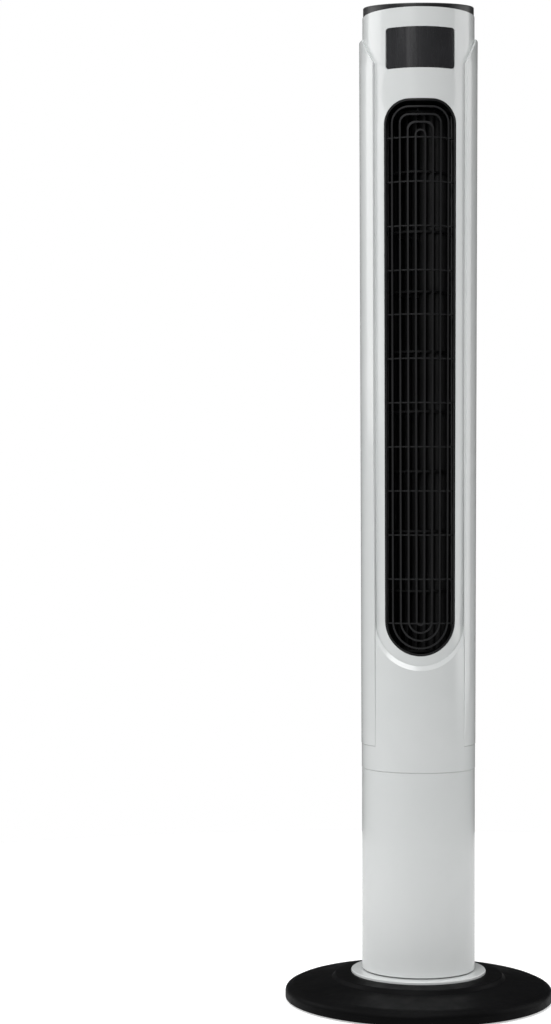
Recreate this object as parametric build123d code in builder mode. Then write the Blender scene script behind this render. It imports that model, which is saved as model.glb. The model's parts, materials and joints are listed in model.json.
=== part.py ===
from build123d import *
from math import acos, cos, degrees, exp, log, pi, radians, sin, sqrt, tan
import os

# Tower fan on a round weighted base. Millimetres, +Z up, the front faces -Y.
# The origin is the centre of the base, on the floor. The column and the body
# turn together on a spindle in the base; a cross-flow wheel turns in the body.

os.makedirs("parts", exist_ok=True)

# ---------------------------------------------------------------- driving sizes
# Base: a wide disc with a rounded rim and a raised step in the middle.
BASE_R = 160.0
BASE_WALL = 3.0
FOOT_HEIGHT = 2.0
RIM_TOP_Z = 10.0
SHOULDER_R = 150.0
SHOULDER_Z = 17.5
STEP_R = 104.0
STEP_LOW_Z = 25.5
STEP_HIGH_Z = 30.5
PLATEAU_R = 84.0
PLATEAU_Z = 32.5

# Seat: the white flange that the column stands over, and its hollow spindle.
SEAT_R = 80.6
SEAT_TOP_Z = 36.0
SPINDLE_R = 16.0
SPINDLE_BORE_R = 12.0
SPINDLE_TOP_Z = 75.5

# Column: the plain lower tube, 1.2 above the seat so that it can turn.
COLUMN_R = 67.6
COLUMN_WALL = 2.6
COLUMN_LOW_Z = 37.2
SEAM_Z = 278.0
SEAM_GAP = 0.15

# Body: a front shell whose panel leans in towards the bottom, and a rear
# shell that wraps the sides and the back and stands proud of it.
NECK_R = 67.4
PANEL_LOW_R = 65.0
PANEL_LOW_Z = 400.0
PANEL_HIGH_Z = 1115.0
NECK_TOP_Z = 1178.0
FRONT_WALL = 2.6
PAD_R = 68.0
LOW_RING_TOP_Z = 306.85

WRAP_LOW_Z = 307.0
WRAP_TOP_Z = 1150.0
WRAP_LOW_R = 68.4
WRAP_TOP_R = 71.2
WRAP_DIAGONAL_LOW_Z = 1113.0
RECESS_HALF = 52.3
FIT = 0.1

# Outlet: a tall opening with a round bottom, and a flat top with big corners.
OUTLET_LOW_Z = 415.0
OUTLET_TOP_Z = 1070.5
OUTLET_LOW_HALF = 41.2
OUTLET_TOP_HALF = 42.6
OUTLET_CORNER_R = 28.0

# Grille: four concentric loops of bars, with level ribs behind them.
BAR_WIDTH = 1.9
LOOP_PITCH = 9.2
LOOP_COUNT = 4
RIB_COUNT = 12
RIB_LOW_Z = 453.5
RIB_PITCH = 52.0
RIB_HEIGHT = 1.5
RIM_WIDTH = 2.4

# Display window in the neck.
WINDOW_LOW_Z = 1106.5
WINDOW_TOP_Z = 1155.0
WINDOW_HALF_ANGLE = 36.6
WINDOW_CORNER_R = 4.0

# Top panel: a wedge, thin at the front and thick at the back.
CAP_R = 66.5
CAP_TILT = 7.2
CAP_MID_Z = 1191.0
CAP_THICK = 2.6
BUTTON_R = 6.4
BUTTON_PROUD = 1.1
BUTTON_TRAVEL = 1.0
BUTTON_CIRCLE_R = 44.0
BUTTON_STEP_DEG = 24.0

# Air path: the wheel, and the two plates that guide the air round it.
WHEEL_Y = 6.0
WHEEL_R = 40.0
WHEEL_LOW_Z = 418.0
WHEEL_TOP_Z = 1062.0
BLADE_COUNT = 24
DISC_COUNT = 10
DISC_THICK = 2.4
BLADE_THICK = 0.9
BLADE_INNER_R = 31.0
PARTITION_R = 61.8
PARTITION_THICK = 3.0
LOW_PARTITION_Z = 408.0
TOP_PARTITION_Z = 1071.0
SHEET = 1.2

# Swing drive: a fixed gear on the spindle and a pinion that walks round it.
GEAR_MODULE = 1.25
GEAR_TEETH = 54
PINION_TEETH = 18
PRESSURE_ANGLE = radians(20)
TOOTH_THINNING = 0.14
GEAR_LOW_Z = 60.0
GEAR_FACE = 8.0
DRIVE_Y = GEAR_MODULE * (GEAR_TEETH + PINION_TEETH) / 2

TOP_PLANE = Plane(
    origin=(0, 0, CAP_MID_Z),
    x_dir=(1, 0, 0),
    z_dir=(0, -sin(radians(CAP_TILT)), cos(radians(CAP_TILT))),
)


# --------------------------------------------------------------------- helpers
def on_circle(radius, angle_deg):
    """The point at a radius and an angle from +X."""
    angle = radians(angle_deg)
    return (radius * cos(angle), radius * sin(angle))


def panel_radius(z):
    """The outer radius of the front panel at a height."""
    share = (z - PANEL_LOW_Z) / (PANEL_HIGH_Z - PANEL_LOW_Z)
    share = min(max(share, 0.0), 1.0)
    return PANEL_LOW_R + share * (NECK_R - PANEL_LOW_R)


def revolved(points):
    """A solid turned about Z from a closed outline of (radius, height) points."""
    with BuildPart() as turned:
        with BuildSketch(Plane.XZ):
            with BuildLine():
                Polyline(*points, close=True)
            make_face()
        revolve(axis=Axis.Z)
    return turned.part


def ring(outer_r, inner_r, low_z, high_z, center=(0, 0)):
    """A plain ring, or a disc if the inner radius is 0."""
    with BuildPart() as made:
        with BuildSketch(Plane.XY.offset(low_z)):
            with Locations(center):
                Circle(outer_r)
                if inner_r > 0:
                    Circle(inner_r, mode=Mode.SUBTRACT)
        extrude(amount=high_z - low_z)
    return made.part


def panel_band(low_z, high_z, outer_depth, inner_depth):
    """A ring that follows the panel's cone, between two depths below it."""
    return revolved([
        (panel_radius(low_z) - inner_depth, low_z),
        (panel_radius(low_z) - outer_depth, low_z),
        (panel_radius(high_z) - outer_depth, high_z),
        (panel_radius(high_z) - inner_depth, high_z),
    ])


def outlet_face(inset):
    """The outlet's outline as a flat face, inset by a distance."""
    low_half = OUTLET_LOW_HALF - inset
    top_half = OUTLET_TOP_HALF - inset
    low_z = OUTLET_LOW_Z + OUTLET_LOW_HALF
    top_z = OUTLET_TOP_Z - inset
    corner = min(max(OUTLET_CORNER_R - inset, 9.0), top_half - 0.01)
    corner_z = top_z - corner
    knee = corner * sqrt(0.5)
    flat = top_half - corner
    with BuildSketch() as face:
        with BuildLine():
            ThreePointArc((-low_half, low_z), (0, low_z - low_half), (low_half, low_z))
            Line((low_half, low_z), (top_half, corner_z))
            ThreePointArc((top_half, corner_z), (flat + knee, corner_z + knee), (flat, top_z))
            Line((flat, top_z), (-flat, top_z))
            ThreePointArc((-flat, top_z), (-flat - knee, corner_z + knee), (-top_half, corner_z))
            Line((-top_half, corner_z), (-low_half, low_z))
        make_face()
    return face.sketch


def loop_prism(outer_inset, inner_inset):
    """A band that follows the outlet's outline, extruded forwards from the axis."""
    with BuildPart() as band:
        with BuildSketch(Plane.XZ):
            add(outlet_face(outer_inset))
            add(outlet_face(inner_inset), mode=Mode.SUBTRACT)
        extrude(amount=BASE_R)
    return band.part


def gear_face(teeth, thinning, first_tooth_deg):
    """A spur gear's flat face, with involute flanks."""
    pitch_r = GEAR_MODULE * teeth / 2
    base_r = pitch_r * cos(PRESSURE_ANGLE)
    root_r = pitch_r - 1.25 * GEAR_MODULE
    tip_r = pitch_r + GEAR_MODULE
    start_r = max(base_r, root_r)
    half_at_pitch = pi / (2 * teeth) - thinning / (2 * pitch_r)
    involute_at_pitch = tan(PRESSURE_ANGLE) - PRESSURE_ANGLE

    def half_angle(radius):
        pressure = acos(min(1.0, base_r / radius))
        return degrees(half_at_pitch + involute_at_pitch - tan(pressure) + pressure)

    flank_radii = [start_r, (start_r + tip_r) / 2, tip_r]
    with BuildSketch() as face:
        with BuildLine():
            for tooth in range(teeth):
                middle = first_tooth_deg + tooth * 360 / teeth
                next_middle = middle + 360 / teeth
                rising = [on_circle(r, middle - half_angle(r)) for r in flank_radii]
                falling = [on_circle(r, middle + half_angle(r)) for r in flank_radii[::-1]]
                next_start = on_circle(start_r, next_middle - half_angle(start_r))
                root_here = on_circle(root_r, middle + half_angle(start_r))
                root_next = on_circle(root_r, next_middle - half_angle(start_r))
                ThreePointArc(*rising)
                Line(rising[-1], falling[0])
                ThreePointArc(*falling)
                if start_r > root_r:
                    Line(falling[-1], root_here)
                    Line(root_next, next_start)
                Line(root_here, root_next)
        make_face()
    return face.sketch


def screw(head_r, head_height, shank_r, shank_length, plane):
    """A pan-head screw: the plane lies under its head and faces out of the head."""
    with BuildPart() as made:
        with BuildSketch(plane):
            Circle(head_r)
        extrude(amount=head_height)
        top = made.faces().sort_by(Axis(plane.origin, plane.z_dir))[-1]
        fillet(top.edges(), radius=head_height * 0.4)
        with BuildSketch(plane):
            Circle(shank_r)
        extrude(amount=-shank_length)
        with BuildSketch(plane.offset(head_height)):
            Rectangle(head_r * 1.1, head_r * 0.28)
            Rectangle(head_r * 0.28, head_r * 1.1)
        extrude(amount=-head_height * 0.5, mode=Mode.SUBTRACT)
    return made.part


def radial_plane(radius, angle_deg, z):
    """A plane that faces away from the axis, at a radius, an angle and a height."""
    x, y = on_circle(radius, angle_deg)
    outward = on_circle(1, angle_deg)
    return Plane(origin=(x, y, z), x_dir=(0, 0, 1), z_dir=(outward[0], outward[1], 0))


# ------------------------------------------------------------------------ base
FOOT_R = 9.0
FOOT_CIRCLE_R = 140.0
FOOT_COUNT = 6
PLATE_R = BASE_R - BASE_WALL - 0.4
PLATE_LOW_Z = FOOT_HEIGHT
PLATE_TOP_Z = PLATE_LOW_Z + 2.0
BASE_SCREW_CIRCLE_R = 116.0
SEAT_SCREW_CIRCLE_R = 71.0
INLET_Z = 7.2
INLET_R = 3.3
GLAND_R = 4.6

with BuildPart() as base_cover:
    with BuildSketch(Plane.XZ):
        with BuildLine():
            FilletPolyline(
                (BASE_R - BASE_WALL, FOOT_HEIGHT),
                (BASE_R, FOOT_HEIGHT),
                (BASE_R, RIM_TOP_Z + 4),
                (SHOULDER_R, SHOULDER_Z + 1),
                (STEP_R, STEP_LOW_Z),
                (STEP_R - 4, STEP_HIGH_Z),
                (PLATEAU_R, PLATEAU_Z),
                (SEAT_SCREW_CIRCLE_R - 12, PLATEAU_Z),
                (SEAT_SCREW_CIRCLE_R - 12, PLATEAU_Z - BASE_WALL),
                (PLATEAU_R - 2, PLATEAU_Z - BASE_WALL),
                (STEP_R - 7, STEP_HIGH_Z - BASE_WALL),
                (STEP_R - 3, STEP_LOW_Z - BASE_WALL),
                (SHOULDER_R - 2, SHOULDER_Z + 1 - BASE_WALL),
                (BASE_R - BASE_WALL, RIM_TOP_Z + 1),
                radius=[0.8, 0.8, 7, 12, 3, 2.5, 6, 0, 0, 2, 2, 2, 5, 5],
                close=True,
            )
        make_face()
    revolve(axis=Axis.Z)
    with BuildSketch(Plane.XY.offset(PLATE_TOP_Z)):
        with PolarLocations(BASE_SCREW_CIRCLE_R, FOOT_COUNT, start_angle=30):
            Circle(4.0)
    extrude(amount=STEP_LOW_Z - BASE_WALL - PLATE_TOP_Z)
    with BuildSketch(Plane.XY.offset(PLATE_TOP_Z)):
        with PolarLocations(BASE_SCREW_CIRCLE_R, FOOT_COUNT, start_angle=30):
            Circle(1.6)
    extrude(amount=12, mode=Mode.SUBTRACT)
    with BuildSketch(Plane.XY.offset(PLATEAU_Z)):
        with PolarLocations(SEAT_SCREW_CIRCLE_R, 4, start_angle=45):
            Circle(2.3)
    extrude(amount=-2 * BASE_WALL, mode=Mode.SUBTRACT)
    with BuildSketch(Plane.XZ.offset(-BASE_R)):
        with Locations((0, INLET_Z)):
            Circle(GLAND_R - 0.8)
    extrude(amount=2 * BASE_WALL, mode=Mode.SUBTRACT)
    with BuildSketch(Plane.XZ.offset(-BASE_R)):
        with Locations((0, INLET_Z)):
            Circle(GLAND_R + FIT)
    extrude(amount=1.2, mode=Mode.SUBTRACT)
base_cover.part.label = "base_cover"
export_step(base_cover.part, "parts/base_cover.step")

with BuildPart() as base_weight:
    with BuildSketch(Plane.XY.offset(PLATE_TOP_Z)):
        Circle(BASE_R - 25)
        Circle(BASE_R - 90, mode=Mode.SUBTRACT)
        with PolarLocations(BASE_SCREW_CIRCLE_R, FOOT_COUNT, start_angle=30):
            Circle(4.6, mode=Mode.SUBTRACT)
        with Locations((0, BASE_R - 40)):
            Rectangle(18, 60, mode=Mode.SUBTRACT)
    extrude(amount=9)
    fillet(base_weight.edges().group_by(Axis.Z)[-1], radius=0.8)
base_weight.part.label = "base_weight"
export_step(base_weight.part, "parts/base_weight.step")

with BuildPart() as bottom_plate:
    with BuildSketch(Plane.XY.offset(PLATE_LOW_Z)):
        Circle(PLATE_R)
        Circle(SPINDLE_R + 30, mode=Mode.SUBTRACT)
        with PolarLocations(FOOT_CIRCLE_R, FOOT_COUNT):
            Circle(3.0, mode=Mode.SUBTRACT)
        with Locations((0, PLATE_R)):
            Rectangle(2 * GLAND_R + 2, 18, mode=Mode.SUBTRACT)
        with PolarLocations(BASE_SCREW_CIRCLE_R, FOOT_COUNT, start_angle=30):
            Circle(1.8, mode=Mode.SUBTRACT)
    extrude(amount=PLATE_TOP_Z - PLATE_LOW_Z)
bottom_plate.part.label = "bottom_plate"
export_step(bottom_plate.part, "parts/bottom_plate.step")

with BuildPart() as rubber_feet:
    with BuildSketch(Plane.XY):
        with PolarLocations(FOOT_CIRCLE_R, FOOT_COUNT):
            Circle(FOOT_R)
    extrude(amount=FOOT_HEIGHT)
    chamfer(rubber_feet.edges().group_by(Axis.Z)[0], length=0.6)
    with BuildSketch(Plane.XY.offset(FOOT_HEIGHT)):
        with PolarLocations(FOOT_CIRCLE_R, FOOT_COUNT):
            Circle(2.9)
    extrude(amount=PLATE_TOP_Z - FOOT_HEIGHT)
    with BuildSketch(Plane.XY.offset(PLATE_TOP_Z)):
        with PolarLocations(FOOT_CIRCLE_R, FOOT_COUNT):
            Circle(4.0)
    extrude(amount=1.2)
rubber_feet.part.label = "rubber_feet"
export_step(rubber_feet.part, "parts/rubber_feet.step")


def screw_circle(count, circle_r, first_deg, z, head_r, shank_r, length):
    """Screws on a circle, each driven upwards from below."""
    group = []
    for index in range(count):
        x, y = on_circle(circle_r, first_deg + index * 360 / count)
        plane = Plane(origin=(x, y, z), x_dir=(1, 0, 0), z_dir=(0, 0, -1))
        group.append(screw(head_r, head_r * 0.55, shank_r, length, plane))
    return group


with BuildPart() as seat_ring:
    with BuildSketch(Plane.XZ):
        with BuildLine():
            FilletPolyline(
                (SPINDLE_R + FIT, PLATEAU_Z),
                (SEAT_R, PLATEAU_Z),
                (SEAT_R, SEAT_TOP_Z - 0.4),
                (COLUMN_R + 1.5, SEAT_TOP_Z),
                (SPINDLE_R + FIT, SEAT_TOP_Z),
                radius=[0, 0, 1.2, 0, 0],
                close=True,
            )
        make_face()
    revolve(axis=Axis.Z)
    with BuildSketch(Plane.XY.offset(PLATEAU_Z)):
        with PolarLocations(SEAT_SCREW_CIRCLE_R, 4, start_angle=45):
            Circle(1.6)
        with PolarLocations(SPINDLE_R + 10, 4):
            Circle(1.6)
    extrude(amount=2.6, mode=Mode.SUBTRACT)
seat_ring.part.label = "seat_ring"
export_step(seat_ring.part, "parts/seat_ring.step")

plate_screws = screw_circle(FOOT_COUNT, BASE_SCREW_CIRCLE_R, 30, PLATE_LOW_Z, 3.0, 1.5, 13)
seat_screws = screw_circle(4, SEAT_SCREW_CIRCLE_R, 45, PLATEAU_Z - BASE_WALL, 3.0, 1.5, 5.4)
base_screws = Compound(children=plate_screws + seat_screws)
base_screws.label = "base_screws"
export_step(base_screws, "parts/base_screws.step")

# The spindle hangs in the seat by a flange and is hollow for the mains lead.
SPINDLE_FLANGE_R = 32.0
SPINDLE_FLANGE_TOP_Z = SEAT_TOP_Z + 2.4
with BuildPart() as spindle:
    with BuildSketch(Plane.XY.offset(PLATEAU_Z - 4)):
        Circle(SPINDLE_R)
    extrude(amount=SPINDLE_TOP_Z - PLATEAU_Z + 4)
    with BuildSketch(Plane.XY.offset(SEAT_TOP_Z)):
        Circle(SPINDLE_FLANGE_R)
    extrude(amount=SPINDLE_FLANGE_TOP_Z - SEAT_TOP_Z)
    chamfer(spindle.faces().sort_by(Axis.Z)[-1].edges(), length=0.8)
    with BuildSketch(Plane.XY.offset(PLATEAU_Z - 4)):
        Circle(SPINDLE_BORE_R)
    extrude(amount=SPINDLE_TOP_Z, mode=Mode.SUBTRACT)
spindle.part.label = "spindle"
export_step(spindle.part, "parts/spindle.step")

TURNTABLE_LOW_Z = 40.0
with BuildPart() as glide_ring:
    with BuildSketch(Plane.XY.offset(SEAT_TOP_Z)):
        Circle(57.0)
        Circle(42.0, mode=Mode.SUBTRACT)
    extrude(amount=TURNTABLE_LOW_Z - 0.3 - SEAT_TOP_Z)
    chamfer(glide_ring.edges().group_by(Axis.Z)[-1], length=0.5)
glide_ring.part.label = "glide_ring"
export_step(glide_ring.part, "parts/glide_ring.step")

BUSH_TOP_Z = 58.0
with BuildPart() as fixed_gear:
    with BuildSketch(Plane.XY.offset(GEAR_LOW_Z)):
        add(gear_face(GEAR_TEETH, TOOTH_THINNING, 90 + 180 / GEAR_TEETH))
        Circle(SPINDLE_R + FIT / 2, mode=Mode.SUBTRACT)
        with PolarLocations(SPINDLE_R + 8, 6):
            Circle(3.0, mode=Mode.SUBTRACT)
    extrude(amount=GEAR_FACE)
    with BuildSketch(Plane.XY.offset(BUSH_TOP_Z + 0.5)):
        Circle(SPINDLE_R + 4)
        Circle(SPINDLE_R + FIT / 2, mode=Mode.SUBTRACT)
    extrude(amount=GEAR_LOW_Z - BUSH_TOP_Z - 0.5)
fixed_gear.part.label = "fixed_gear"
export_step(fixed_gear.part, "parts/fixed_gear.step")

with BuildPart() as spindle_nut:
    with BuildSketch(Plane.XY.offset(GEAR_LOW_Z + GEAR_FACE)):
        RegularPolygon(radius=22, side_count=6, major_radius=False)
        Circle(SPINDLE_R + FIT / 2, mode=Mode.SUBTRACT)
    extrude(amount=6)
    chamfer(spindle_nut.edges().filter_by(GeomType.CIRCLE), length=0.4)
spindle_nut.part.label = "spindle_nut"
export_step(spindle_nut.part, "parts/spindle_nut.step")

# The mains lead's inlet: a rubber gland whose flange sits in the back of the rim.
with BuildPart() as cord_gland:
    with BuildSketch(Plane.XZ.offset(-(BASE_R - 0.2))):
        with Locations((0, INLET_Z)):
            Circle(GLAND_R)
    extrude(amount=1.0)
    with BuildSketch(Plane.XZ.offset(-(BASE_R - 1.2))):
        with Locations((0, INLET_Z)):
            Circle(GLAND_R - 0.9)
    extrude(amount=8)
    with BuildSketch(Plane.XZ.offset(-BASE_R)):
        with Locations((0, INLET_Z)):
            Circle(INLET_R)
    extrude(amount=12, mode=Mode.SUBTRACT)
cord_gland.part.label = "cord_gland"
export_step(cord_gland.part, "parts/cord_gland.step")

# ---------------------------------------------------------------- column, foot
TURNTABLE_TOP_Z = 44.0
TURNTABLE_R = COLUMN_R - COLUMN_WALL - 0.2
BOSS_CIRCLE_R = 60.6
BOSS_R = 5.0
BUSH_R = 20.0
BRACKET_LOW_Z = 77.0
BRACKET_TOP_Z = 79.5
BRACKET_HALF = 34.0
MOTOR_EAR_X = 21.0

COLLAR_SCREW_DEGS = (40, 90, 140)
COLLAR_SCREW_STEP = 12.0
SCREW_PILOT_R = 1.6
SCREW_HOLE_R = 1.8
SCREW_HEAD_BORE_R = 3.6

with BuildPart() as column_tube:
    with BuildSketch(Plane.XY.offset(COLUMN_LOW_Z)):
        Circle(COLUMN_R)
        Circle(COLUMN_R - COLUMN_WALL, mode=Mode.SUBTRACT)
    extrude(amount=SEAM_Z - SEAM_GAP - COLUMN_LOW_Z)
    rims = column_tube.edges().filter_by(GeomType.CIRCLE).group_by(SortBy.RADIUS)[-1]
    chamfer(rims, length=0.7)
    with BuildSketch(Plane.XY.offset(TURNTABLE_TOP_Z + FIT)):
        with PolarLocations(BOSS_CIRCLE_R, 4, start_angle=45):
            Circle(BOSS_R)
    extrude(amount=14)
    with BuildSketch(Plane.XY.offset(TURNTABLE_TOP_Z)):
        with PolarLocations(BOSS_CIRCLE_R, 4, start_angle=45):
            Circle(SCREW_PILOT_R)
    extrude(amount=11, mode=Mode.SUBTRACT)
    for angle in COLLAR_SCREW_DEGS:
        with BuildSketch(radial_plane(COLUMN_R + 1, angle, SEAM_Z - COLLAR_SCREW_STEP)):
            Circle(SCREW_HOLE_R)
        extrude(amount=-10, mode=Mode.SUBTRACT)
        with BuildSketch(radial_plane(COLUMN_R + 1, angle, SEAM_Z - COLLAR_SCREW_STEP)):
            Circle(SCREW_HEAD_BORE_R)
        extrude(amount=-2.6, mode=Mode.SUBTRACT)
column_tube.part.label = "column_tube"
export_step(column_tube.part, "parts/column_tube.step")

with BuildPart() as turntable_plate:
    with BuildSketch(Plane.XY.offset(TURNTABLE_LOW_Z)):
        Circle(TURNTABLE_R)
    extrude(amount=TURNTABLE_TOP_Z - TURNTABLE_LOW_Z)
    with BuildSketch(Plane.XY.offset(TURNTABLE_TOP_Z)):
        Circle(BUSH_R + 5)
        with PolarLocations(BUSH_R + 10, 8):
            Rectangle(16, 2)
    extrude(amount=BUSH_TOP_Z - 2 - TURNTABLE_TOP_Z)
    with BuildSketch(Plane.XY.offset(TURNTABLE_LOW_Z)):
        Circle(BUSH_R)
    extrude(amount=30, mode=Mode.SUBTRACT)
    with BuildSketch(Plane.XY.offset(TURNTABLE_LOW_Z)):
        with PolarLocations(BOSS_CIRCLE_R, 4, start_angle=45):
            Circle(1.8)
    extrude(amount=6, mode=Mode.SUBTRACT)
turntable_plate.part.label = "turntable_plate"
export_step(turntable_plate.part, "parts/turntable_plate.step")

with BuildPart() as swivel_bush:
    with BuildSketch(Plane.XY.offset(TURNTABLE_LOW_Z - 0.8)):
        Circle(BUSH_R - 0.02)
    extrude(amount=BUSH_TOP_Z - TURNTABLE_LOW_Z)
    with BuildSketch(Plane.XY.offset(BUSH_TOP_Z - 2)):
        Circle(BUSH_R + 4)
    extrude(amount=2)
    with BuildSketch(Plane.XY.offset(TURNTABLE_LOW_Z - 2)):
        Circle(SPINDLE_R + FIT / 2)
    extrude(amount=30, mode=Mode.SUBTRACT)
swivel_bush.part.label = "swivel_bush"
export_step(swivel_bush.part, "parts/swivel_bush.step")

# A bridge over the gear carries the swing motor, with its shaft pointing down.
SWING_SHAFT_R = 2.5
SWING_MOTOR_R = 17.5
with BuildPart() as swing_bracket:
    with BuildSketch(Plane.XY.offset(BRACKET_LOW_Z)):
        with Locations((0, DRIVE_Y - 4)):
            Rectangle(2 * BRACKET_HALF, 16)
        with Locations((0, DRIVE_Y)):
            Circle(SWING_MOTOR_R + 0.5)
            Rectangle(2 * MOTOR_EAR_X + 10, 10)
    extrude(amount=BRACKET_TOP_Z - BRACKET_LOW_Z)
    with BuildSketch(Plane.XY.offset(TURNTABLE_TOP_Z)):
        for side in (-1, 1):
            with Locations((side * (BRACKET_HALF - 1.25), DRIVE_Y - 4)):
                Rectangle(2.5, 16)
    extrude(amount=BRACKET_LOW_Z - TURNTABLE_TOP_Z)
    with BuildSketch(Plane.XY.offset(BRACKET_LOW_Z)):
        with Locations((0, DRIVE_Y)):
            Circle(5.0)
        with Locations((-MOTOR_EAR_X, DRIVE_Y), (MOTOR_EAR_X, DRIVE_Y)):
            Circle(1.6)
    extrude(amount=5, mode=Mode.SUBTRACT)
swing_bracket.part.label = "swing_bracket"
export_step(swing_bracket.part, "parts/swing_bracket.step")

SWING_MOTOR_TOP_Z = BRACKET_TOP_Z + 21
with BuildPart() as swing_motor:
    with BuildSketch(Plane.XY.offset(BRACKET_TOP_Z)):
        with Locations((0, DRIVE_Y)):
            Circle(SWING_MOTOR_R)
    extrude(amount=SWING_MOTOR_TOP_Z - BRACKET_TOP_Z)
    fillet(swing_motor.faces().sort_by(Axis.Z)[-1].edges(), radius=2)
    with BuildSketch(Plane.XY.offset(BRACKET_TOP_Z)):
        with Locations((0, DRIVE_Y)):
            SlotCenterToCenter(2 * MOTOR_EAR_X, 7)
    extrude(amount=1.0)
    with BuildSketch(Plane.XY.offset(BRACKET_TOP_Z)):
        with Locations((-MOTOR_EAR_X, DRIVE_Y), (MOTOR_EAR_X, DRIVE_Y)):
            Circle(1.6)
        with Locations((0, DRIVE_Y)):
            Circle(SWING_SHAFT_R + FIT / 2)
    extrude(amount=14, mode=Mode.SUBTRACT)
swing_motor.part.label = "swing_motor"
export_step(swing_motor.part, "parts/swing_motor.step")

ear_screws = []
for ear_x in (-MOTOR_EAR_X, MOTOR_EAR_X):
    ear_plane = Plane(origin=(ear_x, DRIVE_Y, BRACKET_TOP_Z + 1.0), x_dir=(1, 0, 0), z_dir=(0, 0, 1))
    ear_screws.append(screw(2.8, 1.8, 1.5, 6, ear_plane))
turntable_screws = screw_circle(4, BOSS_CIRCLE_R, 45, TURNTABLE_LOW_Z, 2.8, 1.5, 13)
chassis_screws = Compound(children=ear_screws + turntable_screws)
chassis_screws.label = "chassis_screws"
export_step(chassis_screws, "parts/chassis_screws.step")

with BuildPart() as swing_shaft:
    with BuildSketch(Plane.XY.offset(GEAR_LOW_Z - 1)):
        with Locations((0, DRIVE_Y)):
            Circle(SWING_SHAFT_R)
    extrude(amount=BRACKET_TOP_Z + 12 - GEAR_LOW_Z)
    chamfer(swing_shaft.edges(), length=0.4)
swing_shaft.part.label = "swing_shaft"
export_step(swing_shaft.part, "parts/swing_shaft.step")

with BuildPart() as swing_pinion:
    with BuildSketch(Plane(origin=(0, DRIVE_Y, GEAR_LOW_Z))):
        add(gear_face(PINION_TEETH, TOOTH_THINNING, 270))
        Circle(SWING_SHAFT_R + 0.01, mode=Mode.SUBTRACT)
    extrude(amount=GEAR_FACE)
    with BuildSketch(Plane.XY.offset(GEAR_LOW_Z + GEAR_FACE)):
        with Locations((0, DRIVE_Y)):
            Circle(6.0)
            Circle(SWING_SHAFT_R + 0.01, mode=Mode.SUBTRACT)
    extrude(amount=5)
swing_pinion.part.label = "swing_pinion"
export_step(swing_pinion.part, "parts/swing_pinion.step")

# ----------------------------------------------------------- column, electrics
BOARD_LOW_Z = 118.0
BOARD_TOP_Z = 222.0
BOARD_HALF = 57.0
BOARD_Y = 2.0
PCB_THICK = 1.6

with BuildPart() as board_rails:
    for side in (-1, 1):
        with BuildSketch(Plane.XY.offset(BOARD_LOW_Z - 4)):
            with Locations((side * 59.5, BOARD_Y)):
                Rectangle(9.6, 8)
        extrude(amount=BOARD_TOP_Z - BOARD_LOW_Z + 4)
        with BuildSketch(Plane.XY.offset(BOARD_LOW_Z - 0.1)):
            with Locations((side * 54.6, BOARD_Y)):
                Rectangle(6, PCB_THICK + 0.2)
        extrude(amount=BOARD_TOP_Z - BOARD_LOW_Z + 4, mode=Mode.SUBTRACT)
board_rails.part.label = "board_rails"
export_step(board_rails.part, "parts/board_rails.step")

with BuildPart() as power_board:
    with BuildSketch(Plane.XZ.offset(-BOARD_Y - PCB_THICK / 2)):
        with Locations((0, (BOARD_LOW_Z + BOARD_TOP_Z) / 2)):
            Rectangle(2 * BOARD_HALF, BOARD_TOP_Z - BOARD_LOW_Z)
            Circle(2.0, mode=Mode.SUBTRACT)
    extrude(amount=PCB_THICK)
power_board.part.label = "power_board"
export_step(power_board.part, "parts/power_board.step")

BOARD_FACE_Y = BOARD_Y - PCB_THICK / 2
with BuildPart() as board_parts:
    for x, z, width, height, depth in (
        (-30, 140, 34, 30, 26),
        (8, 138, 20, 16, 16),
        (34, 138, 18, 22, 18),
        (6, 168, 26, 12, 14),
        (34, 178, 14, 26, 12),
        (-28, 196, 42, 10, 9),
        (22, 208, 30, 8, 8),
    ):
        with BuildSketch(Plane.XZ.offset(-BOARD_FACE_Y)):
            with Locations((x, z)):
                RectangleRounded(width, height, 1.0)
        extrude(amount=depth)
    with BuildSketch(Plane.XZ.offset(-BOARD_FACE_Y)):
        with Locations((-34, 172), (-18, 172)):
            Circle(6.0)
    extrude(amount=18)
board_parts.part.label = "board_parts"
export_step(board_parts.part, "parts/board_parts.step")

# ---------------------------------------------------------------- body, shells
COLLAR_WALL = 3.0
COLLAR_LOW_Z = SEAM_Z - 24
COLLAR_TOP_Z = SEAM_Z + 24
COLLAR_R = COLUMN_R - COLUMN_WALL - 0.15
LOW_WALL_TOP_Z = 384.0
REAR_WINDOW_LOW_Z = 326.0
REAR_WINDOW_TOP_Z = 1106.0
REAR_WINDOW_HALF_DEG = 55.0
HOUSING_SCREW_DEG = 30.0
HOUSING_SCREW_ZS = (350.0, 730.0, 1128.0)

with BuildPart() as joint_collar:
    with BuildSketch(Plane.XY.offset(COLLAR_LOW_Z)):
        Circle(COLLAR_R)
        Circle(COLLAR_R - COLLAR_WALL, mode=Mode.SUBTRACT)
    extrude(amount=COLLAR_TOP_Z - COLLAR_LOW_Z)
    chamfer(joint_collar.edges().filter_by(GeomType.CIRCLE).group_by(SortBy.RADIUS)[-1], length=0.8)
    for angle in COLLAR_SCREW_DEGS:
        for z in (SEAM_Z - COLLAR_SCREW_STEP, SEAM_Z + COLLAR_SCREW_STEP):
            with BuildSketch(radial_plane(COLUMN_R, angle, z)):
                Circle(SCREW_PILOT_R)
            extrude(amount=-10, mode=Mode.SUBTRACT)
joint_collar.part.label = "joint_collar"
export_step(joint_collar.part, "parts/joint_collar.step")

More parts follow.
